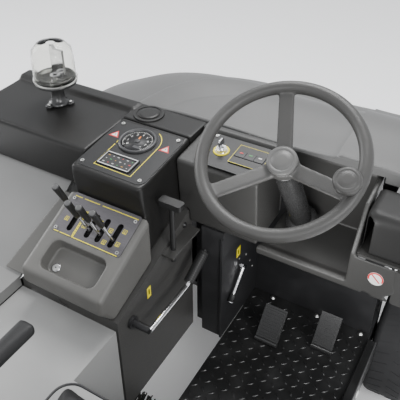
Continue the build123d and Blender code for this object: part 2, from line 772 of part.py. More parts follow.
# ---- parking brake lever with its button ----
brake_x = 61
brake_pivot_y = -60
brake_pivot_z = 654
grip_y = 122
grip_z = 658
with BuildPart() as brake_lever:
    with Locations(Plane((column_left + 1, brake_pivot_y, brake_pivot_z), z_dir=(1, 0, 0))):
        Cylinder(10, brake_x - column_left - 1, align=(Align.CENTER, Align.CENTER, Align.MIN))
        Cylinder(17, 8, align=(Align.CENTER, Align.CENTER, Align.MIN))
    with BuildLine() as path:
        Polyline((brake_x, brake_pivot_y, brake_pivot_z), (brake_x, grip_y - 12, grip_z - 5), (brake_x, grip_y + 20, grip_z + 9))
    with BuildSketch(Plane((brake_x, brake_pivot_y, brake_pivot_z), z_dir=(0, 170, -1))) as s:
        Circle(7)
    sweep(transition=Transition.ROUND)
    with Locations(Plane((brake_x, grip_y, grip_z), z_dir=(0, 90, 45))):
        Cylinder(13, 92, align=(Align.CENTER, Align.CENTER, Align.MIN))
    with Locations(Plane((brake_x, grip_y, grip_z), z_dir=(0, 90, 45)).offset(76)):
        Cylinder(5 + running_gap, 17, align=(Align.CENTER, Align.CENTER, Align.MIN), mode=Mode.SUBTRACT)
save(brake_lever, "parking_brake_lever")

# the release button stands in the grip's end
with BuildPart() as brake_button:
    with Locations(Plane((brake_x, grip_y, grip_z), z_dir=(0, 90, 45)).offset(85.5)):
        Cylinder(5, 14, align=(Align.CENTER, Align.CENTER, Align.MIN))
save(brake_button, "brake_button")

# ---- hand lever on the footwell's left wall ----
hand_y = 335
hand_z = 566
with BuildPart() as hand_lever:
    with Locations(Plane((column_right + 0.5, hand_y, hand_z), z_dir=(1, 0, 0))):
        Cylinder(8, 12, align=(Align.CENTER, Align.CENTER, Align.MIN))
    with Locations(Plane((column_right + 11, hand_y, hand_z), z_dir=(0, -71, -69))):
        Cylinder(5, 99, align=(Align.CENTER, Align.CENTER, Align.MIN))
    with Locations(Plane((column_right + 11, hand_y - 62, hand_z - 60), z_dir=(0, -71, -69))):
        Cylinder(9, 26, align=(Align.CENTER, Align.CENTER, Align.MIN))
    with Locations(Plane((column_right + 11, hand_y, hand_z), z_dir=(0, -71, 69))):
        Box(9, 9, 34, align=(Align.CENTER, Align.CENTER, Align.CENTER))
save(hand_lever, "hand_lever")

# ---- pedals, hinged at the floor ----
pedal_z = floor_top + 14
pedal_rise = 48
for name, x, y, width in (("accelerator_pedal", 390, 322, 62), ("brake_pedal", 238, 266, 70)):
    with BuildPart() as pedal:
        with Locations(Plane((x - width / 2, y, pedal_z), z_dir=(1, 0, 0))):
            Cylinder(8, width, align=(Align.CENTER, Align.CENTER, Align.MIN))
        with Locations(Plane((x, y, pedal_z), x_dir=(1, 0, 0), z_dir=(0, -sin(radians(pedal_rise)), cos(radians(pedal_rise))))):
            Box(width, 105, 8, align=(Align.CENTER, Align.MIN, Align.CENTER))
            with Locations((0, 56, 7)):
                Box(width - 6, 84, 7)
    save(pedal, name)

# ---- left cover: slopes down from the wing to the rear fender, with its outer skirt ----
cover_right = skirt_x
fender_rear = -1000
with BuildPart() as left_cover:
    with BuildSketch(Plane.YZ.offset(-half)) as s:
        with BuildLine():
            Polyline(
                (wing_rear_y + 8, wing_bottom - 6),
                (cover_foot_y, fender_top),
                (fender_rear, fender_top),
                (fender_rear, 420),
                (dash_edge_y - 3, 420),
                (dash_edge_y - 3, wing_bottom - 6),
                close=True,
            )
        make_face()
    extrude(amount=half + cover_right)
    fillet(left_cover.edges().filter_by(Axis.Y).group_by(Axis.X)[0].group_by(Axis.Z)[-1], 24)
    fillet(left_cover.edges().filter_by(Axis.X).group_by(Axis.Y)[0].sort_by(Axis.Z)[-1], 24)
    with BuildSketch(Plane.YZ.offset(-half + 6)) as s:
        with BuildLine():
            Polyline(
                (wing_rear_y + 8, wing_bottom - 18),
                (cover_foot_y + 2, fender_top - 8),
                (fender_rear + 6, fender_top - 8),
                (fender_rear + 6, 419),
                (dash_edge_y - 9, 419),
                (dash_edge_y - 9, wing_bottom - 18),
                close=True,
            )
        make_face()
    extrude(amount=half + cover_right, mode=Mode.SUBTRACT)
    # inner wall down to the deck
    with Locations((cover_right - 5, fender_rear + 2, deck_top + 2)):
        Box(5, box_rear - 6 - fender_rear, fender_top - deck_top - 6, align=(Align.MIN, Align.MIN, Align.MIN))
save(left_cover, "left_cover")

# ---- seat deck, with an opening over the machinery, and the rear side wall on the right ----
deck_rear = -1040
deck_front = box_rear - 3
deck_seat_front = seat_front + 18
deck_right = 600
with BuildPart() as deck:
    with BuildSketch(Plane.XY.offset(deck_top - sheet)) as s:
        with BuildLine():
            Polyline(
                (cover_right + 2, seat_rear - 30),
                (cover_right + 2, deck_front),
                (0, deck_front),
                (0, deck_seat_front),
                (deck_right, deck_seat_front),
                (deck_right, seat_rear - 30),
                close=True,
            )
        make_face()
    extrude(amount=sheet)
    # front wall below the seat and the wall beside the footwell
    with Locations((0, deck_seat_front - sheet, floor_top)):
        Box(deck_right, sheet, deck_top - floor_top - sheet, align=(Align.MIN, Align.MIN, Align.MIN))
    with Locations((-sheet, deck_seat_front - sheet, floor_top)):
        Box(sheet, deck_front - deck_seat_front + sheet, deck_top - floor_top - sheet,
            align=(Align.MIN, Align.MIN, Align.MIN))
    # right side wall behind the entry
    with Locations((deck_right - sheet, deck_rear, 300)):
        Box(sheet, deck_seat_front - deck_rear, deck_top - 300, align=(Align.MIN, Align.MIN, Align.MIN))
    with Locations((rail_outer + 2, seat_rear - 30, 300)):
        Box(deck_right - rail_outer - 4, deck_seat_front - seat_rear + 30, 8, align=(Align.MIN, Align.MIN, Align.MIN))
save(deck, "seat_deck")

# ---- machinery block on the rails, under the engine hood ----
with BuildPart() as engine:
    with Locations((60, -460, rail_bottom + rail_height + 1)):
        Box(520, 230, 250, align=(Align.CENTER, Align.CENTER, Align.MIN))
    fillet(engine.edges().filter_by(Axis.Z), 20)
    with Locations((60, -460, rail_bottom + rail_height + 251)):
        Box(300, 150, 44, align=(Align.CENTER, Align.CENTER, Align.MIN))
save(engine, "engine_block")

# ---- rear engine hood, hinged at the back ----
hood_front = seat_rear - 34
hood_left = cover_right + 6
hood_top = 860
hood_right = deck_right + 2
with BuildPart() as engine_hood:
    with Locations((hood_left, deck_rear + 4, deck_top - 180)):
        Box(hood_right - hood_left - 8, hood_front - deck_rear - 4, hood_top - deck_top + 180,
            align=(Align.MIN, Align.MIN, Align.MIN))
    fillet(engine_hood.edges().filter_by(Axis.Z), 30)
    fillet(engine_hood.edges().group_by(Axis.Z)[-1], 28)
    with Locations((hood_left + 5, deck_rear + 9, deck_top - 181)):
        Box(hood_right - hood_left - 18, hood_front - deck_rear - 14, hood_top - deck_top + 176,
            align=(Align.MIN, Align.MIN, Align.MIN), mode=Mode.SUBTRACT)
    # louvres in the rear face
    for z in (640, 670, 700, 730):
        with Locations((150, deck_rear + 5, z)):
            Box(360, 20, 10, mode=Mode.SUBTRACT)
    for x in (0, 300):
        with Locations(Plane((x - 30, deck_rear - 8, deck_top - 170), z_dir=(1, 0, 0))):
            Cylinder(9, 60, align=(Align.CENTER, Align.CENTER, Align.MIN))
        with Locations((x, deck_rear - 3, deck_top - 170)):
            Box(60, 18, 16)
save(engine_hood, "engine_hood")

# ---- seat on its slide ----
with BuildPart() as seat_base:
    with Locations((seat_x, (seat_front + seat_rear) / 2, deck_top)):
        Box(360, 400, 22, align=(Align.CENTER, Align.CENTER, Align.MIN))
    for side in (-1, 1):
        with Locations((seat_x + side * 150, (seat_front + seat_rear) / 2, deck_top + 22)):
            Box(14, 400, 12, align=(Align.CENTER, Align.CENTER, Align.MIN))
save(seat_base, "seat_base")

with BuildPart() as seat_pan:
    for side in (-1, 1):
        with Locations((seat_x + side * 150, (seat_front + seat_rear) / 2, deck_top + 34.5)):
            Box(24, 300, 6, align=(Align.CENTER, Align.CENTER, Align.MIN))
    with Locations((seat_x, (seat_front + seat_rear) / 2 - 10, deck_top + 40)):
        Box(2 * seat_half - 30, 430, 6, align=(Align.CENTER, Align.CENTER, Align.MIN))
    # back frame and armrest posts
    with Locations((seat_x, seat_rear + 12, deck_top + 40)):
        Box(360, 12, 300, align=(Align.CENTER, Align.CENTER, Align.MIN))
    for side in (-1, 1):
        with Locations((seat_x + side * (seat_half + 6), seat_rear + 14, deck_top + 40)):
            Box(12, 34, 250, align=(Align.CENTER, Align.CENTER, Align.MIN))
        with Locations((seat_x + side * (seat_half - 8), seat_rear + 14, deck_top + 40)):
            Box(40, 34, 6, align=(Align.CENTER, Align.CENTER, Align.MIN))
        with Locations(Plane((seat_x + side * (seat_half + 11), seat_rear + 14, deck_top + 262), z_dir=(side, 0, 0))):
            Cylinder(8, 50, align=(Align.CENTER, Align.CENTER, Align.MIN))
save(seat_pan, "seat_pan")

with BuildPart() as seat_cushion:
    with Locations((seat_x, (seat_front + seat_rear) / 2 + 6, deck_top + 47)):
        Box(2 * seat_half, seat_front - seat_rear - 70, seat_top - deck_top - 47,
            align=(Align.CENTER, Align.CENTER, Align.MIN))
    fillet(seat_cushion.edges().filter_by(Axis.Z), 45)
    fillet(seat_cushion.edges().group_by(Axis.Z)[-1], 25)
save(seat_cushion, "seat_cushion")

with BuildPart() as seat_back:
    with Locations((seat_x, seat_rear + 20, seat_top + 8)):
        Box(2 * seat_half - 20, 66, backrest_top - seat_top - 8, align=(Align.CENTER, Align.MIN, Align.MIN))
    fillet(seat_back.edges().filter_by(Axis.Y), 50)
    fillet(seat_back.edges().group_by(Axis.Y)[-1], 20)
save(seat_back, "seat_back")

armrest_z = deck_top + 262
for name, side in (("armrest_left", -1), ("armrest_right", 1)):
    with BuildPart() as armrest:
        with Locations((seat_x + side * (seat_half + 37), seat_rear - 6, armrest_z - 17)):
            Box(46, 422, 35, align=(Align.CENTER, Align.MIN, Align.MIN))
        fillet(armrest.edges().filter_by(Axis.Z).group_by(Axis.Y)[-1], 12)
        fillet(armrest.edges().group_by(Axis.Z)[-1], 6)
        with Locations(Plane((seat_x + side * (seat_half + 10), seat_rear + 14, armrest_z), z_dir=(side, 0, 0))):
            Cylinder(8 + running_gap, 52, align=(Align.CENTER, Align.CENTER, Align.MIN), mode=Mode.SUBTRACT)
    save(armrest, name)

# ---- beacon ----
beacon_foot = dash_top + 4
with BuildPart() as beacon_base:
    with BuildSketch(Plane.XY.offset(beacon_foot)) as s:
        with Locations((beacon_x, beacon_y)):
            Circle(30)
        for angle in (20, 140, 260):
            with Locations((beacon_x + 34 * cos(radians(angle)), beacon_y + 34 * sin(radians(angle)))):
                Circle(11)
    extrude(amount=6)
    with Locations((beacon_x, beacon_y, beacon_foot + 6)):
        Cylinder(19, 46, align=(Align.CENTER, Align.CENTER, Align.MIN))
    with Locations((beacon_x, beacon_y, beacon_foot + 52)):
        Cone(19, lens_radius - 6, 14, align=(Align.CENTER, Align.CENTER, Align.MIN))
    with Locations((beacon_x, beacon_y, beacon_foot + 66)):
        Cylinder(lens_radius - 3, 8, align=(Align.CENTER, Align.CENTER, Align.MIN))
    with Locations((beacon_x, beacon_y, beacon_foot + 74)):
        Cylinder(6, 22, align=(Align.CENTER, Align.CENTER, Align.MIN))
save(beacon_base, "beacon_base")

with BuildPart() as beacon_lens:
    with Locations((beacon_x, beacon_y, beacon_foot + 74.5)):
        Cylinder(lens_radius, 110, align=(Align.CENTER, Align.CENTER, Align.MIN))
    fillet(beacon_lens.edges().group_by(Axis.Z)[-1], 26)
    with Locations((beacon_x, beacon_y, beacon_foot + 72)):
        Cylinder(lens_radius - 4, 108, align=(Align.CENTER, Align.CENTER, Align.MIN), mode=Mode.SUBTRACT)
save(beacon_lens, "beacon_lens")

with BuildPart() as reflector:
    with Locations((beacon_x, beacon_y, beacon_foot + 80)):
        Cylinder(14, 8, align=(Align.CENTER, Align.CENTER, Align.MIN))
    with Locations((beacon_x, beacon_y + 17, beacon_foot + 80)):
        Box(44, 8, 76, align=(Align.CENTER, Align.CENTER, Align.MIN))
    with Locations((beacon_x, beacon_y, beacon_foot + 79)):
        Cylinder(6 + running_gap, 18, align=(Align.CENTER, Align.CENTER, Align.MIN), mode=Mode.SUBTRACT)
save(reflector, "beacon_reflector")

# ---- hopper hood over the hopper and both front wheels ----
hood_edge_y = dash_edge_y + 4
crease_x = 338                # the hood is raised to the right of this line
crease_step = 10
hood_bottom = 699
hood_skin = 5
hood_left_side = [
    (5 - half, 770),
    (-584, 836),
    (-505, 888),
    (-417, 930),
    (-315, 974),
    (-182, 1006),
    (-60, 1014),
    (crease_x - 3, 1014),
]
hood_right_side = [
    (crease_x, 1014 + crease_step),
    (450, 1022),
    (560, 1002),
    (630, 942),
    (half - 5, 860),
]
# share of the length, of the width and of the height at each section
hood_sections = (
    (0, 1, 0.95),
    (0.146, 1, 0.985),
    (0.255, 1, 1),
    (0.336, 0.99, 0.965),
    (0.417, 0.97, 0.87),
    (0.648, 0.9, 0.552),
    (0.851, 0.8, 0.279),
    (1, 0.68, 0.1),
)


def hood_points(side, wide, tall, skin):
    """A run of the hood's outline at one section, moved inwards by skin."""
    points = []
    for x, z in side:
        inwards = skin if x < 0 else -skin
        points.append((x * wide + (inwards if abs(x) > 400 else skin if x == crease_x else 0),
                       hood_bottom + (z - hood_bottom) * tall - skin))
    return points


hood_solids = []
for skin in (0, hood_skin):
    with BuildPart() as solid:
        for number, (along, wide, tall) in enumerate(hood_sections):
            y = hood_edge_y + along * (machine_front - hood_edge_y)
            left_run = hood_points(hood_left_side, wide, tall, skin)
            right_run = hood_points(hood_right_side, wide, tall, skin)
            section_y = y + (skin if number == 0 else -skin if number == len(hood_sections) - 1 else 0)
            foot_z = hood_bottom - 40
            with BuildSketch(Plane.XZ.offset(-section_y)) as s:
                with BuildLine():
                    Line((left_run[0][0], foot_z), left_run[0])
                    Spline(*left_run)
                    Line(left_run[-1], right_run[0])
                    Spline(*right_run)
                    Line(right_run[-1], (right_run[-1][0], foot_z))
                    Line((right_run[-1][0], foot_z), (left_run[0][0], foot_z))
                make_face()
        loft()
    hood_solids.append(solid.part)
with BuildPart() as hopper_hood:
    add(hood_solids[0])
    # trimmed level at its foot
    with Locations((0, (hood_edge_y + machine_front) / 2, hood_bottom)):
        Box(machine_width + 20, machine_front - hood_edge_y + 20, 60, align=(Align.CENTER, Align.CENTER, Align.MAX),
            mode=Mode.SUBTRACT)
    add(hood_solids[1], mode=Mode.SUBTRACT)
    # clear of the column and the front wall
    with Locations((0, hood_edge_y - 5, 690)):
        Box(half + 10, 110, dash_low + 5 - 690, align=(Align.MIN, Align.MIN, Align.MIN), mode=Mode.SUBTRACT)
    # clear of the column pocket's rear
    with Locations((pocket_left + 93, hood_edge_y - 5, 690)):
        Box(pocket_right + 20 - pocket_left - 93, 40, dash_top - 690, align=(Align.MIN, Align.MIN, Align.MIN), mode=Mode.SUBTRACT)
    # clear of the lower right panel
    with Locations((pocket_right, hood_edge_y - 5, 690)):
        Box(125, 40, 170, align=(Align.MIN, Align.MIN, Align.MIN), mode=Mode.SUBTRACT)
    # no rear flange behind the fender
    with Locations((pocket_right, hood_edge_y - 5, 690)):
        Box(half + 10 - pocket_right, 13, fender_foot + fender_height - 1 - 690, align=(Align.MIN, Align.MIN, Align.MIN),
            mode=Mode.SUBTRACT)
save(hopper_hood, "hopper_hood")

# ---- hopper bin with its inlet at the rear and its hinge pins ----
bin_front = machine_front - 14
inlet_height = 230
bracket_reach = 200
bin_height = 540
bin_posts = 30                # beside the inlet
inlet_sill = 20
inlet_sheet = hopper_bottom + inlet_sill + inlet_height
# low corner and size of each sheet
bin_sheets = [
    ((-hopper_half, hopper_rear, hopper_bottom), (2 * hopper_half, bin_front - hopper_rear, hopper_sheet)),
    ((-hopper_half, bin_front - hopper_sheet, hopper_bottom + hopper_sheet),
     (2 * hopper_half, hopper_sheet, bin_height - hopper_sheet)),
    ((-hopper_half, hopper_rear, inlet_sheet), (2 * hopper_half, hopper_sheet, hopper_bottom + bin_height - inlet_sheet)),
    ((-hopper_half, hopper_rear, hopper_bottom + hopper_sheet),
     (2 * hopper_half, hopper_sheet, inlet_sill - hopper_sheet)),
]
for side in (-1, 1):
    wall_low = min(side * hopper_half, side * (hopper_half - hopper_sheet))
    post_low = min(side * hopper_half, side * (hopper_half - bin_posts))
    bin_sheets += [
        ((wall_low, hopper_rear + hopper_sheet, hopper_bottom + hopper_sheet),
         (hopper_sheet, bin_front - hopper_rear - 2 * hopper_sheet, bin_height - hopper_sheet)),
        ((post_low, hopper_rear, hopper_bottom + inlet_sill), (bin_posts, hopper_sheet, inlet_height)),
    ]
    # carriers of the hood, on the bin's upper edge
    for y in (bin_front - 456, bin_front - 196):
        carrier_low = min(side * hopper_half, side * (hopper_half - 30))
        bin_sheets.append(((carrier_low, y - 25, hopper_bottom + bin_height), (30, 50, 50)))
    bracket_low = min(side * hopper_half, side * (hopper_half + bracket_reach))
    bin_sheets.append(((bracket_low, bin_front - 481, hopper_bottom + bin_height - 10), (bracket_reach, 50, 8)))
bin_members = []
for corner, (length, depth, height) in bin_sheets:
    with BuildPart() as bin_sheet:
        with Locations(corner):
            Box(length, depth, height, align=(Align.MIN, Align.MIN, Align.MIN))
    bin_members += bin_sheet.part.solids()
for side in (-1, 1):
    with BuildPart() as tilt_pin:
        with Locations(Plane((side * hopper_half, tilt_y, tilt_z), z_dir=(side, 0, 0))):
            Cylinder(cradle_pin, upright_x + upright_sheet - hopper_half + 2,
                     align=(Align.CENTER, Align.CENTER, Align.MIN))
    bin_members += tilt_pin.part.solids()
save_members(bin_members, "hopper_bin")

# ---- lift arms on their cross tube, and the cradle ----
arm_x = upright_x + upright_sheet + side_gap + 5
pin_y = arm_pivot_y + arm_length * cos(radians(arm_rest))
pin_z = arm_pivot_z + arm_length * sin(radians(arm_rest))
arm_dir = Plane((0, arm_pivot_y, arm_pivot_z), x_dir=(0, cos(radians(arm_rest)), sin(radians(arm_rest))),
                z_dir=(1, 0, 0))
with BuildPart() as lift_arms:
    with Locations(Plane((-arm_x - arm_sheet, arm_pivot_y, arm_pivot_z), z_dir=(1, 0, 0))):
        Cylinder(tube_radius, 2 * (arm_x + arm_sheet), align=(Align.CENTER, Align.CENTER, Align.MIN))
    for start in (-arm_x - arm_sheet, arm_x):
        with BuildSketch(arm_dir.offset(start)) as s:
            with Locations((arm_length / 2, 0)):
                SlotCenterToCenter(arm_length, 60)
        extrude(amount=arm_sheet)
    with Locations(Plane((-arm_x - arm_sheet, pin_y, pin_z), z_dir=(1, 0, 0))):
        Cylinder(cradle_pin + running_gap, 2 * (arm_x + arm_sheet), align=(Align.CENTER, Align.CENTER, Align.MIN),
                 mode=Mode.SUBTRACT)
save(lift_arms, "lift_arms")

with BuildPart() as cradle:
    for start in (-upright_x - upright_sheet, upright_x):
        with BuildSketch(Plane.YZ.offset(start)) as s:
            with BuildLine():
                Polyline(
                    (pin_y - 30, pin_z + 30),
                    (pin_y + 30, pin_z + 30),
                    (tilt_y + 30, tilt_z + 20),
                    (tilt_y + 30, hopper_bottom - 50),
                    (tilt_y - 30, hopper_bottom - 50),
                    (tilt_y - 30, tilt_z + 20),
                    close=True,
                )
            make_face()
            with Locations((tilt_y, tilt_z)):
                Circle(cradle_pin + running_gap, mode=Mode.SUBTRACT)
        extrude(amount=upright_sheet)
    for side in (-1, 1):
        with Locations(Plane((side * (upright_x + 1), pin_y, pin_z), z_dir=(side, 0, 0))):
            Cylinder(cradle_pin, arm_x + arm_sheet - upright_x + 2, align=(Align.CENTER, Align.CENTER, Align.MIN))
    with Locations((0, tilt_y, hopper_bottom - 30)):
        Box(2 * upright_x + 4, 40, 40)
save(cradle, "hopper_cradle")

# ---- wheels ----
for name, side in (("front_wheel_left", -1), ("front_wheel_right", 1)):
    with BuildPart() as wheel:
        with Locations(Plane((side * front_wheel_x, front_wheel_y, wheel_radius), z_dir=(1, 0, 0))):
            Cylinder(wheel_radius, wheel_width)
        fillet(wheel.edges().filter_by(GeomType.CIRCLE), 22)
        with Locations(Plane((side * (front_wheel_x + wheel_width / 2), front_wheel_y, wheel_radius),
                             z_dir=(side, 0, 0))):
            Cylinder(118, 30, align=(Align.CENTER, Align.CENTER, Align.MAX), mode=Mode.SUBTRACT)
            Cylinder(40, 8, align=(Align.CENTER, Align.CENTER, Align.MAX))
            Cylinder(40, 30, align=(Align.CENTER, Align.CENTER, Align.MAX))
        with Locations(Plane((side * front_wheel_x, front_wheel_y, wheel_radius), z_dir=(1, 0, 0))):
            Cylinder(axle_radius + running_gap, wheel_width + 20, mode=Mode.SUBTRACT)
    save(wheel, name)

with BuildPart() as rear_wheel:
    with Locations(Plane((0, rear_wheel_y, wheel_radius), z_dir=(1, 0, 0))):
        Cylinder(wheel_radius, wheel_width)
    fillet(rear_wheel.edges().filter_by(GeomType.CIRCLE), 22)
    for side in (-1, 1):
        with Locations(Plane((side * wheel_width / 2, rear_wheel_y, wheel_radius), z_dir=(side, 0, 0))):
            Cylinder(118, 30, align=(Align.CENTER, Align.CENTER, Align.MAX), mode=Mode.SUBTRACT)
            Cylinder(40, 30, align=(Align.CENTER, Align.CENTER, Align.MAX))
    with Locations(Plane((0, rear_wheel_y, wheel_radius), z_dir=(1, 0, 0))):
        Cylinder(axle_radius + running_gap, wheel_width + 20, mode=Mode.SUBTRACT)
save(rear_wheel, "rear_wheel")

fork_top = 2 * wheel_radius + 12
with BuildPart() as fork:
    for side in (-1, 1):
        with Locations((side * (wheel_width / 2 + fork_gap + 6), rear_wheel_y, wheel_radius - 30)):
            Box(12, 80, fork_top - wheel_radius + 30, align=(Align.CENTER, Align.CENTER, Align.MIN))
    with Locations((0, rear_wheel_y, fork_top)):
        Cylinder(100, 20, align=(Align.CENTER, Align.CENTER, Align.MIN))
        Cylinder(fork_pin_radius, 60, align=(Align.CENTER, Align.CENTER, Align.MIN))
    with Locations(Plane((-wheel_width / 2 - fork_gap - 12, rear_wheel_y, wheel_radius), z_dir=(1, 0, 0))):
        Cylinder(axle_radius, wheel_width + 2 * fork_gap + 24, align=(Align.CENTER, Align.CENTER, Align.MIN))
save(fork, "rear_fork")

# ---- main roller brush ----
with BuildPart() as brush:
    with Locations(Plane((0, brush_y, brush_radius + 6), z_dir=(1, 0, 0))):
        Cylinder(brush_radius, 2 * brush_half)
        Cylinder(brush_shaft_radius, 2 * upright_x + 18)
save(brush, "main_brush")

# ---- side brush on its swing arm ----
with BuildPart() as brush_arm:
    with Locations((brush_post_x, brush_post_y, brush_arm_z)):
        Cylinder(12, rail_bottom - brush_arm_z - 1, align=(Align.CENTER, Align.CENTER, Align.MIN))
    with BuildSketch(Plane.XY.offset(brush_arm_z)) as s:
        with BuildLine():
            Line((brush_post_x, brush_post_y), (side_brush_x, side_brush_y))
        make_hull(Edge.make_circle(26, Plane((brush_post_x, brush_post_y, 0))).edges()
                  + Edge.make_circle(26, Plane((side_brush_x, side_brush_y, 0))).edges())
    extrude(amount=14)
    with Locations((side_brush_x, side_brush_y, brush_arm_z - 30)):
        Cylinder(10, 40, align=(Align.CENTER, Align.CENTER, Align.MIN))
save(brush_arm, "side_brush_arm")

with BuildPart() as side_brush:
    with Locations((side_brush_x, side_brush_y, brush_arm_z - 10)):
        Cylinder(side_brush_hub, 16, align=(Align.CENTER, Align.CENTER, Align.MAX))
    with Locations((side_brush_x, side_brush_y, brush_arm_z - 26)):
        Cone(side_brush_radius, side_brush_hub, brush_arm_z - 32, align=(Align.CENTER, Align.CENTER, Align.MAX))
    with Locations((side_brush_x, side_brush_y, 0)):
        Cylinder(side_brush_hub - 25, brush_arm_z - 40, align=(Align.CENTER, Align.CENTER, Align.MIN), mode=Mode.SUBTRACT)
    with Locations((side_brush_x, side_brush_y, brush_arm_z - 40)):
        Cylinder(10 + running_gap, 60, align=(Align.CENTER, Align.CENTER, Align.MIN), mode=Mode.SUBTRACT)
save(side_brush, "side_brush")

# ---- screws that hold the plates: one node for all of them ----
with BuildPart() as screws:
    for u in (-86.5, 86.5):
        for v in (-87, 88):
            with Locations(housing_plane * Location((u, v, 0))):
                Cylinder(5, 2.5, align=(Align.CENTER, Align.CENTER, Align.MIN))
    for u in (-95.5, 93):
        for v in (0.5, 88.5):
            with Locations(console_plane.offset(1) * Location((u, v, 0))):
                Cylinder(4.5, 2.5, align=(Align.CENTER, Align.CENTER, Align.MIN))
    for u in (-78, 78):
        with Locations(switch_plane.offset(plate_sheet) * Location((u, 52, 0))):
            Cylinder(4.5, 2.5, align=(Align.CENTER, Align.CENTER, Align.MIN))
    with Locations(console_plane.offset(-tray_depth) * Location((-54, -83, 0))):
        Cylinder(9, 3, align=(Align.CENTER, Align.CENTER, Align.MIN))
save(screws, "plate_screws")
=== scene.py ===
import bpy, bmesh, math, random
from mathutils import Vector, Matrix
from mathutils.bvhtree import BVHTree


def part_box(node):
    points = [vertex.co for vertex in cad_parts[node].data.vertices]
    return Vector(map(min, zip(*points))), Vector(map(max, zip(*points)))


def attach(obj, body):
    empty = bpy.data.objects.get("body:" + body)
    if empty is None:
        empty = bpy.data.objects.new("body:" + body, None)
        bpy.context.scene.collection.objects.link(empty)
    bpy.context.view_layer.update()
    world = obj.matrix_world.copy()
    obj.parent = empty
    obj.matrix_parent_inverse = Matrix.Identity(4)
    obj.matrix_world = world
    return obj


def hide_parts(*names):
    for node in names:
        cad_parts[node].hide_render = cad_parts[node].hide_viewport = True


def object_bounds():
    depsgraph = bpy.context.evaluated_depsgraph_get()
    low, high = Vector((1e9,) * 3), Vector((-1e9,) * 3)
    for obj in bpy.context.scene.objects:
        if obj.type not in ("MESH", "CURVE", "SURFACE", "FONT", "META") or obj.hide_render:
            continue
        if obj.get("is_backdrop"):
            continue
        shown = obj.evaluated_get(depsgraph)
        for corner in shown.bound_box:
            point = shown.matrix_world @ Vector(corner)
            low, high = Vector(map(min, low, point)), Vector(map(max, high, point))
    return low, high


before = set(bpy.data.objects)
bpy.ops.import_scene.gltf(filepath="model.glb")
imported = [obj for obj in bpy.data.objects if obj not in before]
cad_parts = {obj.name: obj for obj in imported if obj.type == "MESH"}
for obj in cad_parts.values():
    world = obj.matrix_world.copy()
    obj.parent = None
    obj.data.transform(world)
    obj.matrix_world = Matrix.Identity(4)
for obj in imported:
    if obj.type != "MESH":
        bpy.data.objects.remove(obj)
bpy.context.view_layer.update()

# Light grey body panels: the left cover, the deck, the engine hood and the hood over the hopper.
# The real ones are rotationally moulded plastic, coloured through, with a fine orange-peel grain.
# They are bolted to the frame from below, so no fixings show.


def plastic(name, colour, rough, grain, depth, patches=0.12, gloss=0.4):
    """Moulded plastic: grain is the number of grains per metre, depth the bump strength."""
    mat = bpy.data.materials.new(name)
    mat.use_nodes = True
    nodes, links = mat.node_tree.nodes, mat.node_tree.links
    shader = nodes["Principled BSDF"]
    shader.inputs["Specular IOR Level"].default_value = gloss
    where = nodes.new("ShaderNodeTexCoord")
    fine = nodes.new("ShaderNodeTexNoise")
    fine.inputs["Scale"].default_value = grain
    fine.inputs["Detail"].default_value = 3
    broad = nodes.new("ShaderNodeTexNoise")
    broad.inputs["Scale"].default_value = 7
    broad.inputs["Detail"].default_value = 6
    for n in (fine, broad):
        links.new(where.outputs["Object"], n.inputs["Vector"])
    tint = nodes.new("ShaderNodeValToRGB")
    tint.color_ramp.elements[0].position = 0.3
    tint.color_ramp.elements[1].position = 0.7
    tint.color_ramp.elements[0].color = [c * (1 - patches) for c in colour] + [1]
    tint.color_ramp.elements[1].color = [min(c * (1 + patches), 1) for c in colour] + [1]
    links.new(broad.outputs["Fac"], tint.inputs["Fac"])
    links.new(tint.outputs["Color"], shader.inputs["Base Color"])
    worn = nodes.new("ShaderNodeMapRange")
    worn.inputs["To Min"].default_value = rough - 0.07
    worn.inputs["To Max"].default_value = rough + 0.07
    links.new(fine.outputs["Fac"], worn.inputs["Value"])
    links.new(worn.outputs["Result"], shader.inputs["Roughness"])
    bump = nodes.new("ShaderNodeBump")
    bump.inputs["Strength"].default_value = depth
    bump.inputs["Distance"].default_value = 0.0006
    links.new(fine.outputs["Fac"], bump.inputs["Height"])
    links.new(bump.outputs["Normal"], shader.inputs["Normal"])
    return mat


def finish_node(name, mat, round_edges=0.0, angle=35, segments=3):
    """Gives a CAD node its material and rounded edges."""
    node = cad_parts[name]
    node.data.materials.clear()
    node.data.materials.append(mat)
    if round_edges:
        bevel = node.modifiers.new("rounded edges", "BEVEL")
        bevel.width = round_edges
        bevel.segments = segments
        bevel.limit_method = "ANGLE"
        bevel.angle_limit = math.radians(angle)
        bevel.harden_normals = False
    return node


def recast(name, mat, voxel, passes, body):
    """Remakes a moulded CAD piece with soft inner and outer corners, and stands it in the node's place."""
    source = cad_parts[name]
    mesh = bpy.data.meshes.new_from_object(source)
    piece = bpy.data.objects.new(name + "_moulding", mesh)
    bpy.context.scene.collection.objects.link(piece)
    remesh = piece.modifiers.new("moulded", "REMESH")
    remesh.mode = "VOXEL"
    remesh.voxel_size = voxel
    smooth = piece.modifiers.new("softened", "SMOOTH")
    smooth.factor = 0.5
    smooth.iterations = passes
    baked = bpy.data.meshes.new_from_object(piece.evaluated_get(bpy.context.evaluated_depsgraph_get()))
    piece.modifiers.clear()
    piece.data = baked
    baked.materials.clear()
    baked.materials.append(mat)
    for p in baked.polygons:
        p.use_smooth = True
    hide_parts(name)
    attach(piece, body)
    return piece


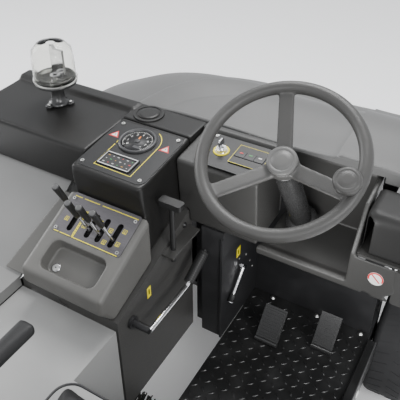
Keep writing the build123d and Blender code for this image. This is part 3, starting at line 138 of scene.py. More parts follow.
light_panel = plastic("light grey panel", (0.185, 0.185, 0.182), 0.5, 900, 0.25, 0.05)
hood_panel = plastic("hood panel", (0.098, 0.098, 0.0965), 0.46, 900, 0.25, 0.05)
deck_panel = plastic("light grey deck", (0.285, 0.285, 0.28), 0.5, 900, 0.25, 0.05)
for name, mat in (("left_cover", light_panel), ("seat_deck", deck_panel), ("engine_hood", light_panel),
                  ("hopper_hood", hood_panel)):
    panel = finish_node(name, mat, 0.0035)
    for p in panel.data.polygons:
        p.use_smooth = True
    panel.data.set_sharp_from_angle(angle=math.radians(28))

# Frame, lift arms, hopper and fork: welded steel sheet and tube under black powder coat.
# The coat is slightly pebbled and greyer where boots and dust have rubbed it.


def coated_steel(name, colour, rough, wear=0.35, pebble=450):
    """Powder-coated steel with dusty wear."""
    mat = bpy.data.materials.new(name)
    mat.use_nodes = True
    nodes, links = mat.node_tree.nodes, mat.node_tree.links
    shader = nodes["Principled BSDF"]
    shader.inputs["Specular IOR Level"].default_value = 0.45
    where = nodes.new("ShaderNodeTexCoord")
    rub = nodes.new("ShaderNodeTexNoise")
    rub.inputs["Scale"].default_value = 14
    rub.inputs["Detail"].default_value = 8
    coat = nodes.new("ShaderNodeTexNoise")
    coat.inputs["Scale"].default_value = pebble
    for n in (rub, coat):
        links.new(where.outputs["Object"], n.inputs["Vector"])
    tint = nodes.new("ShaderNodeValToRGB")
    tint.color_ramp.elements[0].position = 0.45
    tint.color_ramp.elements[1].position = 0.8
    tint.color_ramp.elements[0].color = [*colour, 1]
    tint.color_ramp.elements[1].color = [c * (1 + wear) + 0.006 for c in colour] + [1]
    links.new(rub.outputs["Fac"], tint.inputs["Fac"])
    links.new(tint.outputs["Color"], shader.inputs["Base Color"])
    dull = nodes.new("ShaderNodeMapRange")
    dull.inputs["To Min"].default_value = rough - 0.08
    dull.inputs["To Max"].default_value = rough + 0.12
    links.new(rub.outputs["Fac"], dull.inputs["Value"])
    links.new(dull.outputs["Result"], shader.inputs["Roughness"])
    bump = nodes.new("ShaderNodeBump")
    bump.inputs["Strength"].default_value = 0.15
    bump.inputs["Distance"].default_value = 0.0005
    links.new(coat.outputs["Fac"], bump.inputs["Height"])
    links.new(bump.outputs["Normal"], shader.inputs["Normal"])
    return mat


black_steel = coated_steel("black powder coat", (0.021, 0.021, 0.022), 0.40)
for name in ("chassis_frame", "footwell_wall", "lift_arms", "hopper_cradle", "hopper_bin", "rear_fork",
             "side_brush_arm", "steering_column", "seat_base", "seat_pan"):
    finish_node(name, black_steel, 0.0015)
block_paint = coated_steel("engine paint", (0.06, 0.065, 0.07), 0.5)
finish_node("engine_block", block_paint, 0.004)

# Tread plate: black painted steel with rows of raised lozenges, turned a quarter from one to the next.
# It drops between the sill and the column and is held by dome bolts along its front edge.


def new_piece(name, verts, faces, mat, body, smooth=False):
    """A mesh piece from points in metres that rides on a body."""
    mesh = bpy.data.meshes.new(name)
    mesh.from_pydata([tuple(v) for v in verts], [], faces)
    mesh.materials.append(mat)
    bm = bmesh.new()
    bm.from_mesh(mesh)
    bmesh.ops.recalc_face_normals(bm, faces=bm.faces)
    bm.to_mesh(mesh)
    bm.free()
    for p in mesh.polygons:
        p.use_smooth = smooth
    piece = bpy.data.objects.new(name, mesh)
    bpy.context.scene.collection.objects.link(piece)
    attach(piece, body)
    return piece


tread_paint = coated_steel("tread plate paint", (0.014, 0.014, 0.014), 0.3, 0.8)
finish_node("floor_plate", tread_paint, 0.001)
plate_low, plate_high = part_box("floor_plate")
tread_top = 0.360
verts, faces = [], []
pitch = 0.027
rows = int(0.72 / pitch)
for i in range(14):
    for j in range(rows):
        x = 0.124 + i * pitch
        y = plate_low[1] + 0.014 + j * pitch
        turn = math.radians(45 if (i + j) % 2 else -45)
        base = len(verts)
        for s, h in ((1.0, 0.0), (0.55, 0.0016)):
            for k in range(8):
                a = math.tau * k / 8
                lx, ly = 0.0105 * s * math.cos(a), 0.0038 * s * math.sin(a)
                verts.append((x + lx * math.cos(turn) - ly * math.sin(turn),
                              y + lx * math.sin(turn) + ly * math.cos(turn), tread_top + h))
        faces += [(base + k, base + (k + 1) % 8, base + 8 + (k + 1) % 8, base + 8 + k) for k in range(8)]
        faces.append(tuple(base + 8 + k for k in range(8)))
new_piece("tread_lozenges", verts, faces, tread_paint, "chassis")


def lathe(name, profile, centre, axis, mat, body, steps=32, smooth=True):
    """Turns (radius, height) pairs about an axis through centre."""
    turn = Vector(axis).normalized().to_track_quat("Z", "Y").to_matrix()
    verts, faces = [], []
    for r, h in profile:
        for k in range(steps):
            a = math.tau * k / steps
            verts.append(Vector(centre) + turn @ Vector((r * math.cos(a), r * math.sin(a), h)))
    for ring in range(len(profile) - 1):
        for k in range(steps):
            a, b = ring * steps + k, ring * steps + (k + 1) % steps
            faces.append((a, b, b + steps, a + steps))
    faces.append(tuple(range(steps)))
    faces.append(tuple((len(profile) - 1) * steps + k for k in range(steps)))
    return new_piece(name, verts, faces, mat, body, smooth)


def metal(name, colour, rough, brushed=0.0, direction=(1, 0, 0)):
    """Bare or plated metal with fine scratches along one direction."""
    mat = bpy.data.materials.new(name)
    mat.use_nodes = True
    nodes, links = mat.node_tree.nodes, mat.node_tree.links
    shader = nodes["Principled BSDF"]
    shader.inputs["Metallic"].default_value = 1.0
    where = nodes.new("ShaderNodeTexCoord")
    stretch = nodes.new("ShaderNodeMapping")
    stretch.inputs["Scale"].default_value = [0.03 if d else 1 for d in direction] if brushed else (1, 1, 1)
    marks = nodes.new("ShaderNodeTexNoise")
    marks.inputs["Scale"].default_value = 1500 if brushed else 60
    marks.inputs["Detail"].default_value = 4
    links.new(where.outputs["Object"], stretch.inputs["Vector"])
    links.new(stretch.outputs["Vector"], marks.inputs["Vector"])
    tint = nodes.new("ShaderNodeValToRGB")
    tint.color_ramp.elements[0].position = 0.3
    tint.color_ramp.elements[1].position = 0.7
    tint.color_ramp.elements[0].color = [c * 0.82 for c in colour] + [1]
    tint.color_ramp.elements[1].color = [min(c * 1.12, 1) for c in colour] + [1]
    links.new(marks.outputs["Fac"], tint.inputs["Fac"])
    links.new(tint.outputs["Color"], shader.inputs["Base Color"])
    spread = nodes.new("ShaderNodeMapRange")
    spread.inputs["To Min"].default_value = rough * 0.7
    spread.inputs["To Max"].default_value = rough * 1.4
    links.new(marks.outputs["Fac"], spread.inputs["Value"])
    links.new(spread.outputs["Result"], shader.inputs["Roughness"])
    bump = nodes.new("ShaderNodeBump")
    bump.inputs["Strength"].default_value = 0.08 + brushed
    bump.inputs["Distance"].default_value = 0.0002
    links.new(marks.outputs["Fac"], bump.inputs["Height"])
    links.new(bump.outputs["Normal"], shader.inputs["Normal"])
    return mat


zinc = metal("zinc plate", (0.62, 0.62, 0.60), 0.28)
chrome = metal("chrome plate", (0.75, 0.75, 0.76), 0.12)
dome = [(0.0085, 0), (0.0085, 0.0015), (0.0062, 0.002), (0.0058, 0.004), (0.004, 0.006), (0.001, 0.0068)]
for i, x in enumerate((0.18, 0.33, 0.47)):
    lathe(f"floor_bolt_{i + 1}", dome, (x, 0.444, tread_top + 0.0005), (0, 0, 1), zinc, "chassis", 16)

# Dash mouldings: the left wing, the instrument housing, the switch housing with the column pocket.
# Dark grained plastic, one skin about 5 mm thick, with soft corners and a rolled edge along the hood.
dark_moulding = plastic("dark moulding", (0.0115, 0.0112, 0.0107), 0.36, 1100, 0.3, 0.06, 0.3)
# The side box's plastic is made lighter as painted light, standing in for light that its shaded top does not
# get
box_plastic_painted_light = plastic("side box painted light", (0.052, 0.051, 0.049), 0.40, 1100, 0.35, 0.06)
recast("dash_wing", dark_moulding, 0.0035, 4, "chassis")
recast("instrument_housing", dark_moulding, 0.003, 6, "chassis")
pocket_grey = plastic("pocket moulding", (0.038, 0.0375, 0.036), 0.42, 1100, 0.35, 0.06)
recast("dash_right", pocket_grey, 0.003, 4, "chassis")
recast("right_fender", plastic("fender moulding", (0.018, 0.0178, 0.0174), 0.46, 1000, 0.35, 0.05, 0.25),
       0.004, 4, "chassis")
finish_node("side_box", box_plastic_painted_light, 0.006)
finish_node("cover_cap", dark_moulding, 0.001)

# Console moulding: mid grey grained plastic with a rolled rim round the lever plate and the tray.
# It sits on the side box and on the foot of the left cover, and is screwed down through the tray.
console_grey = plastic("console moulding", (0.104, 0.102, 0.096), 0.40, 1100, 0.3, 0.05)
recast("console", console_grey, 0.0025, 6, "chassis")


def sloped(origin, degrees):
    """Point maker for a plane through origin that rises forwards by that angle: (across, along, up)."""
    s, c = math.sin(math.radians(degrees)), math.cos(math.radians(degrees))
    o = Vector(origin)
    return lambda u, v, w=0.0: o + Vector((u, v * c - w * s, v * s + w * c)) / 1000


on_console = sloped((-0.128, -0.039, 0.848), 24.9)
on_housing = sloped((-0.128, 0.164, 0.991), 4.95)
on_switch = sloped((0.112, 0.272, 0.9915), 5)
up_console = (on_console(0, 0, 1000) - on_console(0, 0, 0)).normalized()
up_housing = (on_housing(0, 0, 1000) - on_housing(0, 0, 0)).normalized()
up_switch = (on_switch(0, 0, 1000) - on_switch(0, 0, 0)).normalized()


def ink(name, colour, rough=0.45, glow=0.0):
    """Screen print, enamel or a film label: flat colour with a faint speckle."""
    mat = bpy.data.materials.new(name)
    mat.use_nodes = True
    nodes, links = mat.node_tree.nodes, mat.node_tree.links
    shader = nodes["Principled BSDF"]
    shader.inputs["Roughness"].default_value = rough
    shader.inputs["Emission Strength"].default_value = glow
    shader.inputs["Emission Color"].default_value = [*colour, 1]
    speck = nodes.new("ShaderNodeTexNoise")
    speck.inputs["Scale"].default_value = 700
    tint = nodes.new("ShaderNodeValToRGB")
    tint.color_ramp.elements[0].color = [c * 0.85 for c in colour] + [1]
    tint.color_ramp.elements[1].color = [min(1, c * 1.1) for c in colour] + [1]
    links.new(speck.outputs["Fac"], tint.inputs["Fac"])
    links.new(tint.outputs["Color"], shader.inputs["Base Color"])
    return mat


def stripes(name, place, runs, width, mat, body, lift=0.25):
    """Printed lines: each run is a list of (u, v) points in mm, drawn as a flat ribbon."""
    verts, faces = [], []
    for run in runs:
        pts = [Vector(p) for p in run]
        base = len(verts)
        for i, p in enumerate(pts):
            ahead = (pts[min(i + 1, len(pts) - 1)] - pts[max(i - 1, 0)]).normalized()
            side = Vector((-ahead.y, ahead.x)) * width / 2
            verts += [place(*(p + side), lift), place(*(p - side), lift)]
        faces += [(base + 2 * i, base + 2 * i + 1, base + 2 * i + 3,
                   base + 2 * i + 2) for i in range(len(pts) - 1)]
    return new_piece(name, verts, faces, mat, body)


def patch(name, place, points, mat, body, low=0.0, high=0.3):
    """A thin plate or label with that outline on a sloped plane."""
    n = len(points)
    verts = [place(u, v, low) for u, v in points] + [place(u, v, high) for u, v in points]
    faces = [tuple(range(n)), tuple(range(2 * n - 1, n - 1, -1))]
    faces += [(k, (k + 1) % n, n + (k + 1) % n, n + k) for k in range(n)]
    return new_piece(name, verts, faces, mat, body)


def rounded(u, v, width, length, radius, steps=6):
    """Outline points of a rounded rectangle centred on u, v."""
    out = []
    for sx, sy, start in ((1, 1, 0), (-1, 1, 90), (-1, -1, 180), (1, -1, 270)):
        for k in range(steps + 1):
            a = math.radians(start + 90 * k / steps)
            out.append((u + sx * (width / 2 - radius) + radius * math.cos(a),
                        v + sy * (length / 2 - radius) + radius * math.sin(a)))
    return out


# Lever plate: brushed stainless sheet with four slots, printed with yellow borders and function marks.
# It drops into the console's seat and is held by a screw in each corner.
brushed = metal("brushed lever plate", (0.17, 0.163, 0.172), 0.42, 0.2)
finish_node("lever_plate", brushed)
yellow = ink("yellow print", (0.90, 0.76, 0.02))
white = ink("white print", (0.75, 0.75, 0.72))
red = ink("red print", (0.62, 0.03, 0.03))
runs = [[(-97, 96), (-75, 96)], [(-68, 96), (-20, 96)], [(-12, 96), (97, 96)], [(-97, -7), (-82, -7)],
        [(-78, -7), (-46, -7)], [(-42, -7), (96, -7)], [(-42, -7), (-42, 68)], [(-38, -7), (-38, 68)]]
runs += [[(-42, v), (-38, v + 4)] for v in range(-4, 66, 7)]
stripes("lever_plate_lines", on_console, runs, 1.9, yellow, "chassis", 1.15)
marks = []
for u, v in ((-82, 32), (-26, 30), (9, 55), (46, 45), (82, 55), (82, 20), (46, 12)):
    marks += [[(u - 5, v - 5), (u + 5, v - 5), (u + 5, v + 5), (u - 5, v + 5), (u - 5, v - 5)],
              [(u - 2, v), (u + 2.5, v + 2)], [(u - 2, v - 2.4), (u + 2.5, v - 2.4)]]
stripes("lever_plate_marks", on_console, marks, 1.3, yellow, "chassis", 1.15)
# Painted shade: a near-black sheet below the slots stands in for the shadow in the well under them
well_painted_shade = ink("well shadow", (0.004, 0.004, 0.004), 0.9)
patch("lever_well_shade_sheet", on_console, rounded(0, 37, 190, 84, 4), well_painted_shade, "chassis", -13.6, -13)

# Hydraulic levers: bright steel rods with black moulded grips, each standing in its slot.
# The grips are pushed on, and a short gaiter closes the slot round each rod.
grip_black = plastic("lever grip", (0.016, 0.016, 0.016), 0.42, 900, 0.3, 0.1)
grip_end = plastic("grip end", (0.075, 0.075, 0.075), 0.5, 900, 0.2)
steel_rod = metal("lever rod", (0.55, 0.55, 0.55), 0.22)
for number, (u, v) in enumerate(((-60.5, 51), (-6.5, 25.5), (26, 25.5), (64.5, 25.5)), 1):
    body = f"hydraulic_lever_{number}"
    rod = lathe(f"lever_rod_{number}", [(0.004, -0.06), (0.004, 0.08)], on_console(u, v), up_console,
                steel_rod, body, 20)
    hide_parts(body)
    lathe(f"lever_gaiter_{number}", [(0.0052, -0.0055), (0.0052, 0.004), (0.0046, 0.006)], on_console(u, v),
          up_console,
          grip_black, body, 20)
    lathe(f"lever_grip_{number}", [(0.0055, 0.074), (0.0072, 0.078), (0.0079, 0.09), (0.0084, 0.12),
                                   (0.009, 0.134),
                                   (0.0088, 0.1385), (0.0078, 0.1395)], on_console(u, v), up_console,
                                   grip_black, body, 28)
    lathe(f"lever_end_{number}", [(0.0075, 0.1390), (0.0072, 0.1400), (0.004, 0.1402)], on_console(u, v),
          up_console,
          grip_end, body, 28)

# Instrument plate: black satin sheet, rounded at the corners, with yellow printed outlines.
# Two generic warning triangles are stuck beside the gauge.
plate_black = plastic("instrument plate", (0.010, 0.010, 0.0105), 0.38, 1500, 0.1)
for name in ("instrument_plate", "switch_plate", "rocker_frame", "display_unit"):
    finish_node(name, plate_black, 0.0004)
outline = [(-54, 6), (-54, -83), (57, -85), (56, 42)]
gauge_u, gauge_v = -6.5, 39
for degrees in range(6, 64, 6):
    a = math.radians(degrees)
    outline.append((gauge_u + 62 * math.cos(a), gauge_v + 62 * math.sin(a)))
stripes("plate_outline", on_housing, [outline, [(-54, 12), (-56, 26)]], 1.8, yellow, "chassis")
for i, (u, v) in enumerate(((-78, 41), (76, 44))):
    patch(f"warning_back_{i + 1}", on_housing, [(u - 15, v - 11), (u + 15, v - 11), (u, v + 15)], red,
          "chassis", 0, 0.25)
    patch(f"warning_face_{i + 1}", on_housing, [(u - 9, v - 7.5), (u + 9, v - 7.5), (u, v + 8.5)], white,
          "chassis",
          0.25, 0.35)
    patch(f"warning_mark_{i + 1}", on_housing,
          [(u - 1, v - 4), (u + 1, v - 4), (u + 1.2, v + 2.5), (u - 1.2, v + 2.5)],
          plate_black, "chassis", 0.35, 0.45)

# Gauge: a pressed bezel round a black dial with white ticks, numerals and an orange needle.
# It fits a round hole in the instrument plate.
bezel_black = plastic("gauge bezel", (0.05, 0.05, 0.052), 0.3, 1500, 0.05)
finish_node("gauge", plate_black)
lathe("gauge_bezel", [(0.0435, 0.001), (0.0435, 0.0052), (0.046, 0.007), (0.049, 0.006), (0.0505, 0.003),
                      (0.0505, 0.0)],
      on_housing(gauge_u, gauge_v), up_housing, bezel_black, "chassis", 64)
dial_black = ink("dial face", (0.008, 0.008, 0.009), 0.5)
lathe("gauge_dial", [(0.0435, 0.0008), (0.0435, 0.0016)], on_housing(gauge_u, gauge_v), up_housing,
      dial_black, "chassis", 48)
ticks = []
for k in range(41):
    a = math.radians(225 - 270 * k / 40)
    inner = 33 if k % 5 == 0 else 36.5
    ticks.append([(gauge_u + inner * math.cos(a), gauge_v + inner * math.sin(a)),
                  (gauge_u + 40 * math.cos(a), gauge_v + 40 * math.sin(a))])
stripes("gauge_ticks", on_housing, ticks, 1.0, white, "chassis", 1.75)
for k in range(9):
    a = math.radians(225 - 270 * k / 8)
    words = bpy.data.curves.new(f"dial_number_{k}", "FONT")
    words.body = str(k)
    words.size = 0.0095
    words.align_x = words.align_y = "CENTER"
    words.extrude = 0.00005
    words.materials.append(white)
    number = bpy.data.objects.new(f"dial_number_{k}", words)
    bpy.context.scene.collection.objects.link(number)
    number.location = on_housing(gauge_u + 27 * math.cos(a), gauge_v + 27 * math.sin(a), 1.8)
    number.rotation_euler = (math.radians(4.95), 0, 0)
    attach(number, "chassis")
needle_orange = ink("needle", (0.75, 0.22, 0.03), 0.4)
patch("gauge_needle", on_housing, [(gauge_u - 3, gauge_v - 3), (gauge_u + 3, gauge_v - 3),
                                   (gauge_u - 1, gauge_v + 19), (gauge_u - 4, gauge_v + 19)],
      needle_orange, "chassis", 2.4, 3.0)
lathe("gauge_hub", [(0.0075, 0.0018), (0.0072, 0.0042), (0.005, 0.0048)], on_housing(gauge_u, gauge_v),
      up_housing, bezel_black,
      "chassis", 24)
patch("gauge_window", on_housing, rounded(gauge_u + 12, gauge_v - 22, 22, 9, 1.5), bezel_black, "chassis",
      1.7, 1.9)

# Display unit: a small framed window with rows of lamps behind tinted film.
# It is clipped into the instrument plate from behind.
patch("display_film", on_housing, rounded(-2, -53, 87, 38, 2), dial_black, "chassis", 2.1, 2.6)
stripes("display_frame", on_housing, [[(-47, -76), (43, -76), (43, -30), (-47, -30), (-47, -76)]], 3.0,
        ink("display edge", (0.5, 0.5, 0.5)), "chassis", 4.15)
lamp_colours = {"amber": (0.35, 0.18, 0.03), "green": (0.03, 0.22, 0.05), "red": (0.4, 0.03, 0.03),
                "white": (0.4, 0.4, 0.4)}
lamps = {key: ink("lamp " + key, c, 0.3, 0.15) for key, c in lamp_colours.items()}
for i in range(6):
    for j in range(3):
        kind = ("white", "red", "white", "green", "amber", "white")[(i + 2 * j) % 6]
        u, v = -37 + i * 14, -66 + j * 13
        patch(f"lamp_{i}_{j}", on_housing, rounded(u, v, 6 - 3 * ((i + j) % 2), 2.4, 0.8, 3), lamps[kind],
              "chassis", 2.6, 2.9)

# Plate screws: zinc-plated pan heads with a hexagon socket.
# The one in the tray has a chromed washer under it.
finish_node("plate_screws", zinc, 0.0008)
spots = [on_housing(u, v, 2.5) for u in (-86.5, 86.5) for v in (-87, 88)]
normals = [up_housing] * 4
spots += [on_console(u, v, 3.5) for u in (-95.5, 93) for v in (0.5, 88.5)]
normals += [up_console] * 4
spots += [on_switch(u, 52, 4.5) for u in (-78, 78)]
normals += [up_switch] * 2
spots.append(on_console(-54, -83, -33))
normals.append(up_console)
# Each hexagon socket is a flat dark disc on the head: painted shade standing in for the recess
socket_painted_shade = ink("screw socket painted shade", (0.03, 0.03, 0.03), 0.6)
for i, (spot, normal) in enumerate(zip(spots, normals)):
    lathe(f"screw_socket_shade_{i + 1}", [(0.0022, -0.0004), (0.0022, 0.0002)], spot, normal, socket_painted_shade,
          "chassis", 6, False)
lathe("tray_washer", [(0.0115, -0.003), (0.0115, -0.0015), (0.0092, -0.0015)], spots[-1], up_console,
      chrome, "chassis", 32)

# Key switch and key: a chromed lock in a yellow enamelled ring, with a plated key.
# The lock is nutted to the switch plate from behind.
finish_node("key_switch", chrome)
lathe("key_ring", [(0.0162, 0.0022), (0.0162, 0.0052), (0.0205, 0.0048), (0.0215, 0.0022)],
      on_switch(-40, 2), up_switch, yellow,
      "chassis", 40)
finish_node("ignition_key", chrome, 0.001)

# Rocker switches: three black keys with a red, a green and a white lens, side by side in one frame.
# A fine yellow outline is printed round them.
rocker_black = plastic("rocker key", (0.02, 0.02, 0.021), 0.35, 1500, 0.05)
for i, (name, colour) in enumerate((("rocker_red", red), ("rocker_green", lamps["green"]),
                                    ("rocker_white", white))):
    finish_node(name, rocker_black, 0.0006)
    u = 38 + (i - 1) * 25.6
    patch(name + "_lens", on_switch, rounded(u, 11, 9, 4, 1, 3), colour, name, 7.05, 7.3)
stripes("rocker_outline", on_switch, [[(-5, -30), (81, -30), (81, 42), (-5, 42), (-5, -30)]], 1.2, yellow,
        "chassis", 5.2)

# Steering wheel: foamed black plastic over a steel ring, three spokes flowing into the rim.
# The hub is closed by a round cap with a groove, and a spinner knob stands on the right spoke.
wheel_skin = plastic("wheel foam", (0.052, 0.051, 0.049), 0.36, 520, 1.0, 0.08)
recast("steering_wheel", wheel_skin, 0.0028, 12, "steering_wheel")
lean = math.radians(31.3)
wheel_up = Vector((0, -math.sin(lean), math.cos(lean)))
wheel_centre = Vector((0.27, 0.175, 1.1))
# The cap's plastic is lighter than the wheel's foam as painted light: it stands in for the light from above
# on the hub
lit_cap_plastic = plastic("wheel cap painted light", (0.105, 0.104, 0.101), 0.34, 900, 0.4, 0.05)
lathe("hub_cap", [(0.035, -0.024), (0.035, -0.015), (0.031, -0.0125), (0.026, -0.0125), (0.025, -0.0135),
                  (0.024, -0.0135),
                  (0.023, -0.0122), (0.01, -0.0115), (0.002, -0.0112)], wheel_centre, wheel_up, lit_cap_plastic,
                  "steering_wheel", 48)
wheel_along = Vector((0, math.cos(lean), math.sin(lean)))
knob_foot = wheel_centre + Vector((0.1585, 0, 0)) - wheel_along * 0.020
knob = lathe("knob_head", [(0.006, 0.012), (0.0275, 0.019), (0.030, 0.024), (0.030, 0.034), (0.027, 0.039),
                           (0.0215, 0.0405),
                           (0.0205, 0.0398), (0.019, 0.0398), (0.018, 0.0408), (0.009, 0.0412),
                           (0.002, 0.0412)],
             knob_foot, wheel_up, wheel_skin, "spinner_knob", 48)
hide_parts("spinner_knob")

# Column boot: a folded rubber bellows with a round foot on the pocket floor.
# It is pulled over the column and held by its own stretch.
boot_rubber = plastic("boot rubber", (0.026, 0.026, 0.026), 0.27, 500, 0.2, gloss=0.6)
profile = [(0.043, -0.366), (0.043, -0.360), (0.030, -0.356)]
for k in range(20):
    h = -0.352 + k * 0.0142
    profile += [(0.0235, h), (0.0285, h + 0.0071)]
profile += [(0.024, -0.066), (0.031, -0.06), (0.031, -0.052)]
boot = lathe("boot_bellows", profile, wheel_centre, wheel_up, boot_rubber, "chassis", 40)
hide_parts("column_boot")

# Lock handle: a black moulded cross grip on a dark rod that lifts out of its bracket.
# Three dome bolts beside it hold the side box's upper part.
finish_node("lock_handle", grip_black, 0.004)
for i, (y, z) in enumerate(((0.197, 0.778), (0.233, 0.725), (0.204, 0.715))):
    lathe(f"box_bolt_{i + 1}", dome, (0.0052, y, z), (1, 0, 0), plate_black, "chassis", 16)

# Parking brake: chromed bent rod, ribbed black grip and a push button in its end.
# The rod turns in a black bush on the side box.
brake_rod = finish_node("parking_brake_lever", chrome)
brake_rod.data.materials.append(black_steel)
for p in brake_rod.data.polygons:
    p.material_index = 1 if p.center.x < 0.05 else 0
finish_node("brake_button", grip_black, 0.001)
pull = Vector((0, 90, 45)).normalized()
ribs = [(0.0135, 0.0)]
for k in range(14):
    ribs += [(0.0142, 0.002 + k * 0.006), (0.0142, 0.0052 + k * 0.006), (0.0131, 0.006 + k * 0.006)]
ribs += [(0.0145, 0.0885), (0.0135, 0.0925), (0.008, 0.0925)]
lathe("brake_grip", ribs, (0.061, 0.122, 0.658), pull, grip_black, "parking_brake", 24)

# Hand lever on the footwell's left wall: plated flat steel with a black end cap.
# Small rivets and a yellow label are on the wall round it.
finish_node("hand_lever", chrome, 0.001)
direction = Vector((0, -71, -69)).normalized()
lathe("hand_lever_knob", [(0.0092, 0), (0.0096, 0.004), (0.0096, 0.024), (0.006, 0.0268)],
      Vector((0.121, 0.273, 0.506)), direction, grip_black, "hand_lever", 20)
for i, (y, z) in enumerate(((0.325, 0.60), (0.338, 0.55), (0.37, 0.58), (0.40, 0.53), (0.42, 0.49),
                            (0.3, 0.47))):
    lathe(f"wall_rivet_{i + 1}", [(0.004, 0), (0.0034, 0.0015), (0.001, 0.002)], (0.1105, y, z), (1, 0, 0),
          zinc, "chassis", 12)


def wall_label(name, x, y, z, width, height, mat):
    """A thin label on a wall that faces right."""
    verts = [(x + d, y + a * width / 2, z + b * height / 2) for d in (0, 0.0004) for a,
             b in ((-1, -1), (1, -1), (1, 1), (-1, 1))]
    faces = [(0, 1, 2, 3), (7, 6, 5, 4), (0, 1, 5, 4), (1, 2, 6, 5), (2, 3, 7, 6), (3, 0, 4, 7)]
    return new_piece(name, verts, faces, mat, "chassis")


wall_label("hand_lever_label", 0.1103, 0.318, 0.632, 0.022, 0.034, yellow)
wall_label("hand_lever_label_mark", 0.1107, 0.318, 0.632, 0.004, 0.016, plate_black)
wall_label("brake_label", 0.0053, 0.02, 0.685, 0.016, 0.036, yellow)
wall_label("brake_label_mark", 0.0057, 0.02, 0.687, 0.004, 0.018, plate_black)

# Pedals: steel plates hinged at the floor, each with a ribbed rubber pad.
# The wide one on the left is the brake, the narrow one the accelerator.
for name, x, y, width in (("accelerator_pedal", 0.390, 0.322, 0.062), ("brake_pedal", 0.238, 0.266, 0.070)):
    finish_node(name, boot_rubber, 0.002)
    face = sloped((x, y, 0.374), 48)
    for k in range(8):
        patch(f"{name}_rib_{k + 1}", face, rounded(0, 20 + k * 10, width * 1000 - 14, 4, 1.8, 3),
              boot_rubber, name, 14, 15.6)

# Beacon: rubber foot with three screws, a stem, a clear lens and a turning reflector.
# The lens stands on a black tray and is screwed down on the stem's flange.
foot = (-0.449, 0.262, 0.994)
rubber_foot = lathe("beacon_stand", [(0.031, 0), (0.031, 0.004), (0.026, 0.008), (0.021, 0.012),
                                     (0.0185, 0.03), (0.0185, 0.045),
                                     (0.024, 0.052), (0.052, 0.063), (0.059, 0.066), (0.059, 0.073)],
                    foot, (0, 0, 1), boot_rubber, "chassis", 48)
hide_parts("beacon_base")
for i in range(3):
    a = math.radians(20 + 120 * i)
    ear = (foot[0] + 0.034 * math.cos(a), foot[1] + 0.034 * math.sin(a), foot[2])
    lathe(f"beacon_ear_{i + 1}", [(0.011, 0), (0.011, 0.005), (0.0095, 0.006)], ear, (0, 0, 1), boot_rubber,
          "chassis", 24)
    lathe(f"beacon_screw_{i + 1}", [(0.005, 0.006), (0.005, 0.008), (0.003, 0.0095)], ear, (0, 0, 1), zinc,
          "chassis", 12)
lens_clear = bpy.data.materials.new("beacon lens")
lens_clear.use_nodes = True
shader = lens_clear.node_tree.nodes["Principled BSDF"]
shader.inputs["Base Color"].default_value = (0.93, 0.93, 0.90, 1)
shader.inputs["Roughness"].default_value = 0.03
shader.inputs["Transmission Weight"].default_value = 1.0
shader.inputs["IOR"].default_value = 1.12
flutes = lens_clear.node_tree.nodes.new("ShaderNodeTexNoise")
flutes.inputs["Scale"].default_value = 90
press = lens_clear.node_tree.nodes.new("ShaderNodeBump")
press.inputs["Strength"].default_value = 0.1
lens_clear.node_tree.links.new(flutes.outputs["Fac"], press.inputs["Height"])
lens_clear.node_tree.links.new(press.outputs["Normal"], shader.inputs["Normal"])
profile = [(0.0615, 0.0745), (0.062, 0.080), (0.0585, 0.083), (0.0575, 0.14), (0.054, 0.165),
           (0.040, 0.180), (0.015, 0.184)]
inside = [(r - 0.003, h - 0.001) for r, h in reversed(profile)]
lens = lathe("beacon_dome", profile + inside, foot, (0, 0, 1), lens_clear, "chassis", 72)
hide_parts("beacon_lens")
finish_node("beacon_reflector", chrome, 0.002)
lathe("beacon_tray", [(0.0555, 0.0755), (0.0555, 0.086), (0.050, 0.0885), (0.045, 0.082), (0.026, 0.081)],
      foot, (0, 0, 1),
      boot_rubber, "chassis", 48)

# Prohibition sticker on the lower right panel: a white film disc printed with a red ring and bar.
# It is generic, with no wording.
sticker_centre = Vector((0.511, 0.2215, 0.812))
lathe("sticker_disc", [(0.0185, 0), (0.0185, 0.0004)], sticker_centre, (0, -1, 0.03), white, "chassis", 40,
      False)
verts, faces = [], []
for k in range(48):
    a = math.tau * k / 48
    for r in (0.0145, 0.0182):
        verts.append(sticker_centre + Vector((r * math.cos(a), -0.0006, r * math.sin(a))))
faces = [(2 * k, 2 * k + 1, (2 * k + 3) % 96, (2 * k + 2) % 96) for k in range(48)]
new_piece("sticker_ring", verts, faces, red, "chassis")
d = Vector((0.7, 0, -0.7)) * 0.0155
s = Vector((0.7, 0, 0.7)) * 0.0016
new_piece("sticker_bar",
          [sticker_centre + Vector((0, -0.0007, 0)) + v for v in (d + s, d - s, -d - s, -d + s)],
          [(0, 1, 2, 3)], red, "chassis")

